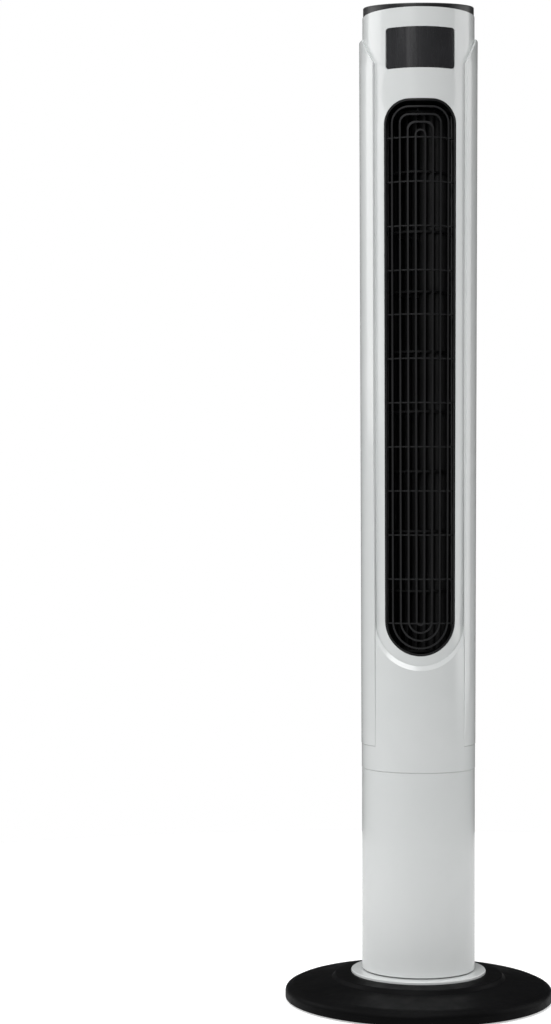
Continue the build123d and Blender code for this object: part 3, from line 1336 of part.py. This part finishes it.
with BuildPart() as top_panel:
    with BuildSketch(Plane.XY.offset(NECK_TOP_Z + 0.3)):
        Circle(CAP_R)
    extrude(amount=40)
    split(bisect_by=TOP_PLANE, keep=Keep.BOTTOM)
    fillet(top_panel.faces().sort_by(Axis.Z)[-1].edges(), radius=1.4)
    with BuildSketch(Plane.XY.offset(NECK_TOP_Z - CAP_PLUG)):
        Circle(CAP_PLUG_R)
    extrude(amount=CAP_PLUG + 0.3)
    add(cap_hollow.part, mode=Mode.SUBTRACT)
    with BuildSketch(TOP_PLANE):
        with Locations(*BUTTON_PLACES):
            Circle(BUTTON_R + 0.3)
    extrude(amount=-2 * CAP_THICK, mode=Mode.SUBTRACT)
top_panel.part.label = "top_panel"
export_step(top_panel.part, "parts/top_panel.step")


def push_button(place):
    """A round key with a flange under the panel that keeps it in."""
    with BuildPart() as key:
        with BuildSketch(TOP_PLANE.offset(BUTTON_PROUD)):
            with Locations(place):
                Circle(BUTTON_R)
        extrude(amount=-(BUTTON_PROUD + KEY_DEPTH))
        fillet(key.faces().sort_by(Axis(TOP_PLANE.origin, TOP_PLANE.z_dir))[-1].edges(), radius=0.5)
        with BuildSketch(TOP_PLANE.offset(-CAP_THICK - FLANGE_GAP)):
            with Locations(place):
                Circle(BUTTON_R + 1.4)
        extrude(amount=-KEY_FLANGE_THICK)
    return key.part


for button_name, button_place in zip(BUTTON_NAMES, BUTTON_PLACES):
    button = push_button(button_place)
    button.label = button_name
    export_step(button, f"parts/{button_name}.step")

with BuildPart() as key_board:
    with BuildSketch(TOP_PLANE.offset(-SWITCH_DEPTH - SWITCH_HEIGHT)):
        Circle(55.0)
        Circle(30.0, mode=Mode.SUBTRACT)
        with Locations((0, KEY_BOARD_BACK_Y + CAP_R)):
            Rectangle(2 * CAP_R, 2 * CAP_R, mode=Mode.SUBTRACT)
    extrude(amount=-PCB_THICK)
key_board.part.label = "key_board"
export_step(key_board.part, "parts/key_board.step")

switch_group = []
for place in BUTTON_PLACES:
    with BuildPart() as tact_switch:
        with BuildSketch(TOP_PLANE.offset(-SWITCH_DEPTH - SWITCH_HEIGHT)):
            with Locations(place):
                Rectangle(6, 6)
        extrude(amount=SWITCH_HEIGHT)
        with BuildSketch(TOP_PLANE.offset(-SWITCH_DEPTH)):
            with Locations(place):
                Circle(1.7)
        extrude(amount=PLUNGER_HEIGHT)
    switch_group.append(tact_switch.part)
key_switches = Compound(children=switch_group)
key_switches.label = "key_switches"
export_step(key_switches, "parts/key_switches.step")

housing_group = []
for screw_z in HOUSING_SCREW_ZS:
    for screw_deg in (HOUSING_SCREW_DEG, 180 - HOUSING_SCREW_DEG):
        head_plane = radial_plane(panel_radius(screw_z) + 2.3, screw_deg, screw_z)
        housing_group.append(screw(3.3, 1.5, 1.5, 6.5, head_plane))
housing_screws = Compound(children=collar_group + housing_group)
housing_screws.label = "housing_screws"
export_step(housing_screws, "parts/housing_screws.step")
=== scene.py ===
import json
import math

import bmesh
import bpy
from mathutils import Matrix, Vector


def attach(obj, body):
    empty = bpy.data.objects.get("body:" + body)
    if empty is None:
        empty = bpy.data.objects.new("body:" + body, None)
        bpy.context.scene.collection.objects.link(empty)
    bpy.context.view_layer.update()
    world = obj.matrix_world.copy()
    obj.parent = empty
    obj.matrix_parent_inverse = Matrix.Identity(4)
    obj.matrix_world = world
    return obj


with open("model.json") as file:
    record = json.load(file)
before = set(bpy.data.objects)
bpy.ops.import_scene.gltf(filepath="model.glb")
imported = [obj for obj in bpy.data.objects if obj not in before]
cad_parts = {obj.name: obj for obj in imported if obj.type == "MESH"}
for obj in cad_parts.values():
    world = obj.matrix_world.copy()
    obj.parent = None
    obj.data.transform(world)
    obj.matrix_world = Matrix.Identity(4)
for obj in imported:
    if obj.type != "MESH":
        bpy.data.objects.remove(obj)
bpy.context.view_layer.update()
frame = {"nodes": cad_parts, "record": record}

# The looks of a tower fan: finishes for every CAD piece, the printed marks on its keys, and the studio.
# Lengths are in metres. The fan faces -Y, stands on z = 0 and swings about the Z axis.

MM = 0.001


# ---------------------------------------------------------------- finishes

class Finish:
    """A Principled material with the procedural nodes that feed it."""

    def __init__(self, name, **sockets):
        self.material = bpy.data.materials.new(name)
        self.material.use_nodes = True
        self.tree = self.material.node_tree
        self.shader = self.tree.nodes["Principled BSDF"]
        self.place = self.add("ShaderNodeTexCoord").outputs["Object"]
        self.normal = None
        for socket, value in sockets.items():
            self.shader.inputs[socket.replace("_", " ")].default_value = value

    def add(self, kind, **settings):
        node = self.tree.nodes.new(kind)
        for key, value in settings.items():
            setattr(node, key, value)
        return node

    def feed(self, node, socket, value):
        """Links an output to the socket, or sets the socket's value."""
        if isinstance(value, bpy.types.NodeSocket):
            self.tree.links.new(value, node.inputs[socket])
        else:
            node.inputs[socket].default_value = value

    def stretched(self, stretch):
        """The object's own coordinates, scaled along each axis."""
        mapping = self.add("ShaderNodeMapping")
        mapping.inputs["Scale"].default_value = stretch
        self.feed(mapping, "Vector", self.place)
        return mapping.outputs["Vector"]

    def noise(self, scale, detail=3.0, stretch=(1, 1, 1), warp=0.0):
        """Cloudy noise, scale cells to the metre."""
        node = self.add("ShaderNodeTexNoise")
        self.feed(node, "Vector", self.stretched(stretch))
        self.feed(node, "Scale", scale)
        self.feed(node, "Detail", detail)
        self.feed(node, "Distortion", warp)
        return node.outputs["Fac"]

    def cells(self, scale, output="Color", feature="F1"):
        """Voronoi cells, scale to the metre."""
        node = self.add("ShaderNodeTexVoronoi", feature=feature)
        self.feed(node, "Vector", self.place)
        self.feed(node, "Scale", scale)
        return node.outputs[output]

    def bands(self, pitch, direction, warp=0.0, kind="BANDS"):
        """Bands that repeat every pitch metres along an axis, or rings round it."""
        node = self.add("ShaderNodeTexWave", wave_type=kind)
        if kind == "BANDS":
            node.bands_direction = direction
        else:
            node.rings_direction = direction
        self.feed(node, "Vector", self.place)
        self.feed(node, "Scale", math.pi / (10 * pitch))
        self.feed(node, "Distortion", warp)
        return node.outputs["Fac"]

    def curve(self, value, low, high, to_low=0.0, to_high=1.0):
        """Maps low..high to to_low..to_high, and holds it there outside."""
        node = self.add("ShaderNodeMapRange")
        self.feed(node, "Value", value)
        for socket, number in (("From Min", low), ("From Max", high), ("To Min", to_low), ("To Max", to_high)):
            self.feed(node, socket, number)
        return node.outputs["Result"]

    def patchy(self, value):
        """Noise pulled apart into soft patches, 0 to 1."""
        return self.curve(value, 0.35, 0.65)

    def uneven(self, value, low, high):
        """Noise spread over low to high."""
        return self.curve(value, 0.3, 0.7, low, high)

    def product(self, a, b):
        node = self.add("ShaderNodeMath", operation="MULTIPLY")
        self.feed(node, 0, a)
        self.feed(node, 1, b)
        return node.outputs[0]

    def blend(self, amount, a, b):
        node = self.add("ShaderNodeMix", data_type="RGBA")
        self.feed(node, 0, amount)
        self.feed(node, 6, a)
        self.feed(node, 7, b)
        return node.outputs[2]

    def colour(self, value):
        self.feed(self.shader, "Base Color", value)

    def rough(self, value):
        self.feed(self.shader, "Roughness", value)

    def bump(self, height, depth):
        """Raises the surface by up to depth metres where height is 1. Calls stack."""
        node = self.add("ShaderNodeBump")
        self.feed(node, "Height", height)
        self.feed(node, "Distance", depth)
        if self.normal is not None:
            self.feed(node, "Normal", self.normal)
        self.normal = node.outputs["Normal"]
        self.feed(self.shader, "Normal", self.normal)

    def worn_and_sheen_edges(self):
        """1 along convex edges, 0 elsewhere: where edges are lightened, partly as wear and partly as a painted
        sheen.
        """
        node = self.add("ShaderNodeNewGeometry")
        return self.curve(node.outputs["Pointiness"], 0.52, 0.62)

    def dust(self, amount):
        """Where dust settles: patches on faces that look up."""
        split = self.add("ShaderNodeSeparateXYZ")
        geometry = self.add("ShaderNodeNewGeometry")
        self.feed(split, 0, geometry.outputs["Normal"])
        up = self.curve(split.outputs["Z"], 0.6, 1.0)
        patches = self.curve(self.noise(26, 5), 0.42, 0.72, amount / 4, amount)
        return self.product(up, patches)


def rgb(r, g, b):
    return (r, g, b, 1.0)


# How far convex edges are lightened: partly wear, partly a painted sheen.
EDGE_WEAR_AND_SHEEN = 0.5
DUST_COLOUR = rgb(0.34, 0.33, 0.31)
ORANGE_PEEL = 0.04 * MM


def moulded(name, base, patch, rough, spread, grain, depth, dust=0.0, edge=None, **sockets):
    """Moulded plastic: faint flow patches, a fine tool texture, slightly uneven gloss, and, where an edge
    colour is given, convex edges lightened as wear and as a painted sheen.
    """
    f = Finish(name, **sockets)
    colour = f.blend(f.patchy(f.noise(9, 4, warp=0.6)), base, patch)
    # Lighter convex edges: partly wear, partly a painted sheen along the edges.
    if edge:
        colour = f.blend(f.product(f.worn_and_sheen_edges(), EDGE_WEAR_AND_SHEEN), colour, edge)
    if dust:
        colour = f.blend(f.dust(dust), colour, DUST_COLOUR)
    f.colour(colour)
    f.rough(f.uneven(f.noise(55, 6), rough - spread, rough + spread))
    f.bump(f.noise(grain, 4), depth)
    return f


def white_shell(name):
    """Gloss ABS: a hint of orange peel, and a slightly darker tone in the flow patches."""
    f = moulded(name, rgb(0.675, 0.690, 0.685), rgb(0.650, 0.667, 0.662), 0.22, 0.035, 1400, 0.006 * MM,
                Coat_Weight=0.25, Coat_Roughness=0.06, IOR=1.5)
    f.bump(f.noise(120, 2), ORANGE_PEEL)
    return f


def metal(name, base, patch, rough, spread, stretch, depth, scale=900):
    """Drawn or turned metal, brushed along the axis that stretch leaves long."""
    f = Finish(name, Metallic=1.0)
    streaks = f.noise(scale, 4, stretch=stretch)
    f.colour(f.blend(f.uneven(streaks, 0, 1), base, patch))
    f.rough(f.uneven(f.noise(scale / 3, 3, stretch=stretch), rough - spread, rough + spread))
    f.bump(streaks, depth)
    return f


def zinc_sheet(name):
    """Galvanised sheet with its spangle."""
    f = Finish(name, Metallic=1.0)
    grey = f.add("ShaderNodeRGBToBW")
    f.feed(grey, 0, f.cells(170))
    f.colour(f.blend(grey.outputs[0], rgb(0.46, 0.47, 0.49), rgb(0.62, 0.63, 0.64)))
    f.rough(f.curve(grey.outputs[0], 0, 1, 0.30, 0.44))
    f.bump(f.noise(1200, 3), 0.01 * MM)
    return f


def steel_stack(name):
    """The edges of a stack of steel laminations, half a millimetre apart."""
    f = Finish(name, Metallic=0.85)
    sheets = f.bands(0.5 * MM, "Z")
    f.colour(f.blend(f.curve(sheets, 0.2, 0.6), rgb(0.05, 0.05, 0.055), rgb(0.36, 0.36, 0.37)))
    f.rough(f.uneven(f.noise(300, 3), 0.38, 0.55))
    f.bump(sheets, 0.08 * MM)
    return f


def copper_wire(name):
    """Enamelled winding wire, laid in turns."""
    f = Finish(name, Metallic=0.9, Coat_Weight=0.5, Coat_Roughness=0.15)
    turns = f.bands(0.6 * MM, "Z", warp=1.2, kind="RINGS")
    f.colour(f.blend(turns, rgb(0.22, 0.065, 0.02), rgb(0.74, 0.30, 0.12)))
    f.rough(f.uneven(f.noise(200, 2), 0.25, 0.4))
    f.bump(turns, 0.1 * MM)
    return f


def circuit_laminate(name):
    """Green solder mask over copper tracks."""
    f = Finish(name, Coat_Weight=0.4, Coat_Roughness=0.2)
    tracks = f.curve(f.cells(420, "Distance", "DISTANCE_TO_EDGE"), 0.03, 0.09)
    f.colour(f.blend(tracks, rgb(0.045, 0.18, 0.07), rgb(0.012, 0.085, 0.03)))
    f.rough(f.uneven(f.noise(90, 3), 0.32, 0.42))
    f.bump(tracks, -0.03 * MM)
    return f


def sand_cast(name):
    """Cast iron with the sand's texture left on it."""
    f = Finish(name, Metallic=0.7)
    f.colour(f.blend(f.noise(60, 5), rgb(0.06, 0.055, 0.05), rgb(0.13, 0.115, 0.10)))
    f.rough(f.uneven(f.noise(400, 3), 0.55, 0.8))
    f.bump(f.noise(700, 6), 0.25 * MM)
    return f


def smoked(name):
    """A dark tinted window, hard-coated, with the faintest wipe marks."""
    f = Finish(name, IOR=1.49, Coat_Weight=0.35, Coat_Roughness=0.10, Transmission_Weight=0.12,
               Specular_IOR_Level=0.36)
    f.colour(f.blend(f.patchy(f.noise(18, 3)), rgb(0.013, 0.013, 0.0145), rgb(0.020, 0.020, 0.022)))
    f.rough(f.uneven(f.noise(40, 5, stretch=(6, 6, 0.4)), 0.18, 0.32))
    f.bump(f.noise(60, 2, stretch=(3, 3, 0.3)), 0.02 * MM)
    return f


# Edge colours are lighter than their parts: partly wear, partly a painted sheen along convex edges.
BLACK_EDGE = rgb(0.018, 0.018, 0.019)
FINISHES = {
    "white_plastic": white_shell("white_plastic_finish"),
    "black_plastic": moulded("black_plastic_finish", rgb(0.0024, 0.0024, 0.0026), rgb(0.0038, 0.0038, 0.0041),
                             0.46, 0.06, 1100, 0.03 * MM, dust=0.004, edge=rgb(0.010, 0.010, 0.011),
                             Specular_IOR_Level=0.04),
    "grille_plastic": moulded("grille_plastic_finish", rgb(0.0080, 0.0080, 0.0086), rgb(0.0120, 0.0120, 0.0126),
                              0.50, 0.06, 1200, 0.02 * MM, edge=BLACK_EDGE,
                              Specular_IOR_Level=0.25),
    "cap_plastic": moulded("cap_plastic_finish", rgb(0.0085, 0.0085, 0.0092), rgb(0.0120, 0.0120, 0.0128),
                           0.38, 0.05, 1500, 0.02 * MM, dust=0.01, edge=BLACK_EDGE,
                           Specular_IOR_Level=0.35),
    "key_plastic": moulded("key_plastic_finish", rgb(0.020, 0.020, 0.021), rgb(0.026, 0.026, 0.027),
                           0.42, 0.05, 1600, 0.02 * MM, edge=rgb(0.05, 0.05, 0.052)),
    "smoked_window": smoked("smoked_window_finish"),
    "wheel_plastic": moulded("wheel_plastic_finish", rgb(0.0060, 0.0060, 0.0064), rgb(0.0100, 0.0100, 0.0104),
                             0.50, 0.07, 900, 0.02 * MM, dust=0.02, Specular_IOR_Level=0.25),
    "grey_plastic": moulded("grey_plastic_finish", rgb(0.16, 0.16, 0.165), rgb(0.20, 0.20, 0.205),
                            0.50, 0.06, 1000, 0.04 * MM),
    "natural_plastic": moulded("natural_plastic_finish", rgb(0.66, 0.63, 0.54), rgb(0.60, 0.57, 0.48),
                               0.42, 0.05, 700, 0.03 * MM, Subsurface_Weight=0.15, Subsurface_Scale=0.004),
    "foot_rubber": moulded("foot_rubber_finish", rgb(0.012, 0.012, 0.012), rgb(0.022, 0.021, 0.020),
                           0.78, 0.08, 1300, 0.06 * MM, dust=0.12),
    "dark_component": moulded("dark_component_finish", rgb(0.018, 0.018, 0.020), rgb(0.032, 0.032, 0.035),
                              0.46, 0.08, 1500, 0.03 * MM),
    "cast_iron": sand_cast("cast_iron_finish"),
    "black_steel": moulded("black_steel_finish", rgb(0.014, 0.014, 0.015), rgb(0.026, 0.026, 0.027),
                           0.48, 0.09, 500, 0.08 * MM, edge=rgb(0.09, 0.09, 0.09)),
    "zinc_steel": zinc_sheet("zinc_steel_finish"),
    "screw_steel": metal("screw_steel_finish", rgb(0.42, 0.42, 0.43), rgb(0.60, 0.60, 0.61),
                         0.30, 0.08, (1, 1, 0.2), 0.01 * MM),
    "lamination": steel_stack("lamination_finish"),
    "bronze": metal("bronze_finish", rgb(0.42, 0.26, 0.10), rgb(0.58, 0.37, 0.16),
                    0.36, 0.07, (0.3, 0.3, 1), 0.02 * MM, scale=700),
    "copper": copper_wire("copper_finish"),
    "circuit_board": circuit_laminate("circuit_board_finish"),
}

for part in frame["record"]["subparts"]:
    node = frame["nodes"][part["node"]]
    for slot in node.material_slots:
        slot.material = FINISHES[part["material_slot"]].material


# ---------------------------------------------------------------- printed marks on the keys

CAP_TILT = math.radians(7.2)
CAP_MID_Z = 1191.0 * MM
KEY_PROUD = 1.1 * MM
KEY_RING_R = 44.0 * MM
KEY_STEP = math.radians(24.0)
INK_THICK = 0.05 * MM
INK_R = 3.3 * MM
INK_LINE = 0.55 * MM
ARC_STEPS = 28
ARROW_SIZE = 1.3 * MM
BAR_COUNT = 4
BAR_PITCH = 1.45 * MM
BAR_WIDTH = 0.8 * MM
WAVE_HEIGHT = 0.35 * MM

TOP_NORMAL = Vector((0, -math.sin(CAP_TILT), math.cos(CAP_TILT)))
TOP_ACROSS = Vector((1, 0, 0))
TOP_BACK = Vector((0, math.cos(CAP_TILT), math.sin(CAP_TILT)))


def on_key(centre, u, v, rise):
    """A point on the cap's slanted top, u across and v to the back of a key's centre."""
    middle = Vector((0, 0, CAP_MID_Z))
    return middle + TOP_ACROSS * (centre[0] + u) + TOP_BACK * (centre[1] + v) + TOP_NORMAL * (KEY_PROUD + rise)


def ribbon(points, closed=False, width=INK_LINE):
    """The outline, as quads, of a line of even width along points."""
    count = len(points)
    rows = []
    for i, p in enumerate(points):
        before = points[i - 1] if (i or closed) else p
        after = points[(i + 1) % count] if (i < count - 1 or closed) else p
        along = Vector(after) - Vector(before)
        side = Vector((-along.y, along.x)).normalized() * width / 2
        rows.append((Vector(p) + side, Vector(p) - side))
    last = count if closed else count - 1
    return [(rows[i][0], rows[i][1], rows[(i + 1) % count][1], rows[(i + 1) % count][0]) for i in range(last)]


def arc(radius, start, end):
    """Points on an arc, from start to end in degrees."""
    angles = [math.radians(start + (end - start) * i / ARC_STEPS) for i in range(ARC_STEPS + 1)]
    return [(radius * math.cos(a), radius * math.sin(a)) for a in angles]


def ring(radius):
    return arc(radius, 0, 360)[:-1]


def arrow_head(tip, heading):
    """A small triangle whose tip is at tip and which points along heading, in degrees."""
    a = math.radians(heading)
    ahead = Vector((math.cos(a), math.sin(a)))
    side = Vector((-ahead.y, ahead.x))
    tip = Vector(tip)
    back = tip - ahead * ARROW_SIZE
    spread = side * ARROW_SIZE * 0.62
    return [(tip, back + spread, back, back - spread)]


def power_mark():
    return ribbon(arc(INK_R * 0.8, 125, 415)) + ribbon([(0, INK_R * 0.15), (0, INK_R)])


def timer_mark():
    hands = ribbon([(0, INK_R * 0.55), (0, 0)]) + ribbon([(0, 0), (INK_R * 0.45, -INK_R * 0.22)])
    return ribbon(ring(INK_R * 0.9), closed=True) + hands


def speed_mark():
    bars = []
    for i in range(BAR_COUNT):
        x = (i - (BAR_COUNT - 1) / 2) * BAR_PITCH
        top = -INK_R * 0.6 + (i + 1) * INK_R * 0.36
        bars += ribbon([(x, -INK_R * 0.7), (x, top)], width=BAR_WIDTH)
    return bars


def swing_mark():
    quads = []
    for turn in (0, 180):
        quads += ribbon(arc(INK_R * 0.85, 20 + turn, 150 + turn))
        quads += arrow_head(arc(INK_R * 0.85, 20 + turn, 2 + turn)[-1], turn - 80)
    return quads


def mode_mark():
    quads = []
    for row in (-1, 0, 1):
        wave = []
        for i in range(ARC_STEPS + 1):
            t = i / ARC_STEPS
            height = row * INK_R * 0.55 + WAVE_HEIGHT * math.sin(t * math.tau)
            wave.append(((t - 0.5) * INK_R * 1.8, height))
        quads += ribbon(wave)
    return quads


def print_mark(name, body, centre, quads, finish):
    """Prints a mark on a key as a thin raised layer of ink."""
    mesh = bpy.data.meshes.new(name)
    bm = bmesh.new()
    for quad in quads:
        low = [bm.verts.new(on_key(centre, p[0], p[1], 0.0)) for p in quad]
        high = [bm.verts.new(on_key(centre, p[0], p[1], INK_THICK)) for p in quad]
        bm.faces.new(high)
        bm.faces.new(low[::-1])
        for i in range(4):
            j = (i + 1) % 4
            bm.faces.new((low[i], low[j], high[j], high[i]))
    bmesh.ops.recalc_face_normals(bm, faces=bm.faces)
    bm.to_mesh(mesh)
    bm.free()
    piece = bpy.data.objects.new(name, mesh)
    bpy.context.scene.collection.objects.link(piece)
    mesh.materials.append(finish.material)
    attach(piece, body)


ink = moulded("key_ink_finish", rgb(0.56, 0.57, 0.58), rgb(0.50, 0.51, 0.52), 0.5, 0.05, 1800, 0.01 * MM)
MARKS = (
    ("timer_key", timer_mark, -2),
    ("mode_key", mode_mark, -1),
    ("power_key", power_mark, 0),
    ("swing_key", swing_mark, 1),
    ("speed_key", speed_mark, 2),
)
for body, draw, place in MARKS:
    angle = -math.pi / 2 + place * KEY_STEP
    centre = (KEY_RING_R * math.cos(angle), KEY_RING_R * math.sin(angle))
    print_mark(body.replace("key", "mark"), body, centre, draw(), ink)


# ---------------------------------------------------------------- studio

FLOOR_R = 1.4
FLOOR_GLOW = 0.50
FLOOR_BOUNCE = 0.10
FLOOR_RINGS = 64
CAMERA_AWAY = 2.6855
CAMERA_HEIGHT = 0.5847
CAMERA_TURN = math.radians(2.2)
CAMERA_PAN = math.radians(3.67)
LENS = 78.3
SENSOR = 36.0
ROOM_LIGHT = rgb(0.975, 0.99, 1.0)
ROOM_TOWARDS = (-0.40, -0.45, 0.65)


def pale_floor():
    """A round white floor that glows to the camera, to melt into the backdrop, and little to the fan."""
    mesh = bpy.data.meshes.new("floor")
    bm = bmesh.new()
    bmesh.ops.create_circle(bm, cap_ends=True, segments=FLOOR_RINGS, radius=FLOOR_R)
    bm.to_mesh(mesh)
    bm.free()
    floor = bpy.data.objects.new("floor", mesh)
    bpy.context.scene.collection.objects.link(floor)
    f = Finish("floor_finish", Emission_Color=rgb(1, 1, 1))
    seen = f.add("ShaderNodeLightPath").outputs["Is Camera Ray"]
    f.feed(f.shader, "Emission Strength", f.curve(seen, 0, 1, FLOOR_BOUNCE, FLOOR_GLOW))
    f.colour(f.blend(f.noise(3, 3), rgb(0.80, 0.80, 0.80), rgb(0.83, 0.83, 0.83)))
    f.rough(f.uneven(f.noise(20, 3), 0.75, 0.85))
    mesh.materials.append(f.material)


def soft_box(name, place, target, size, power):
    light = bpy.data.lights.new(name, "AREA")
    light.shape = "RECTANGLE"
    light.size, light.size_y = size
    light.energy = power
    lamp = bpy.data.objects.new(name, light)
    lamp.location = place
    lamp.rotation_euler = (Vector(target) - Vector(place)).to_track_quat("-Z", "Y").to_euler()
    bpy.context.scene.collection.objects.link(lamp)


def bright_room(bright, dim, backdrop):
    """Soft light all round, from bright in one direction to dim opposite it, and a plain white backdrop."""
    world = bpy.data.worlds.new("room")
    bpy.context.scene.world = world
    world.use_nodes = True
    nodes, links = world.node_tree.nodes, world.node_tree.links
    nodes.clear()
    out = nodes.new("ShaderNodeOutputWorld")
    mix = nodes.new("ShaderNodeMixShader")
    path = nodes.new("ShaderNodeLightPath")
    room = nodes.new("ShaderNodeBackground")
    back = nodes.new("ShaderNodeBackground")
    place = nodes.new("ShaderNodeTexCoord")
    facing = nodes.new("ShaderNodeVectorMath")
    facing.operation = "DOT_PRODUCT"
    facing.inputs[1].default_value = ROOM_TOWARDS
    ramp = nodes.new("ShaderNodeMapRange")
    ramp.inputs["From Min"].default_value = -0.3
    ramp.inputs["From Max"].default_value = 0.9
    ramp.inputs["To Min"].default_value = dim
    ramp.inputs["To Max"].default_value = bright
    room.inputs["Color"].default_value = ROOM_LIGHT
    back.inputs["Color"].default_value = rgb(1, 1, 1)
    back.inputs["Strength"].default_value = backdrop
    links.new(place.outputs["Generated"], facing.inputs[0])
    links.new(facing.outputs["Value"], ramp.inputs["Value"])
    links.new(ramp.outputs["Result"], room.inputs["Strength"])
    links.new(path.outputs["Is Camera Ray"], mix.inputs[0])
    links.new(room.outputs[0], mix.inputs[1])
    links.new(back.outputs[0], mix.inputs[2])
    links.new(mix.outputs[0], out.inputs[0])


def camera():
    data = bpy.data.cameras.new("camera")
    data.lens = LENS
    data.sensor_width = SENSOR
    data.clip_end = 100
    eye = bpy.data.objects.new("camera", data)
    eye.location = (
        -CAMERA_AWAY * math.sin(CAMERA_TURN),
        -CAMERA_AWAY * math.cos(CAMERA_TURN),
        CAMERA_HEIGHT,
    )
    eye.rotation_euler = (math.pi / 2, 0, CAMERA_PAN - CAMERA_TURN)
    bpy.context.scene.collection.objects.link(eye)
    bpy.context.scene.camera = eye


pale_floor()
bright_room(bright=0.41, dim=0.03, backdrop=1.0)
soft_box("front_light", (-0.9, -2.3, 2.9), (0, 0, 0.55), (1.7, 1.7), 58)
soft_box("top_light", (0, -0.3, 3.2), (0, 0, 0), (2.0, 2.0), 36)
soft_box("left_light", (-2.4, 0.65, 1.8), (0, 0, 0.80), (1.9, 2.2), 29)
soft_box("right_light", (2.5, 0.5, 1.2), (0, 0, 0.6), (2.0, 2.2), 28)
soft_box("window_glow", (-1.0, -2.8, 1.75), (0, 0, 1.13), (0.7, 0.9), 0.9)
camera()
bpy.context.scene.view_settings.view_transform = "Standard"
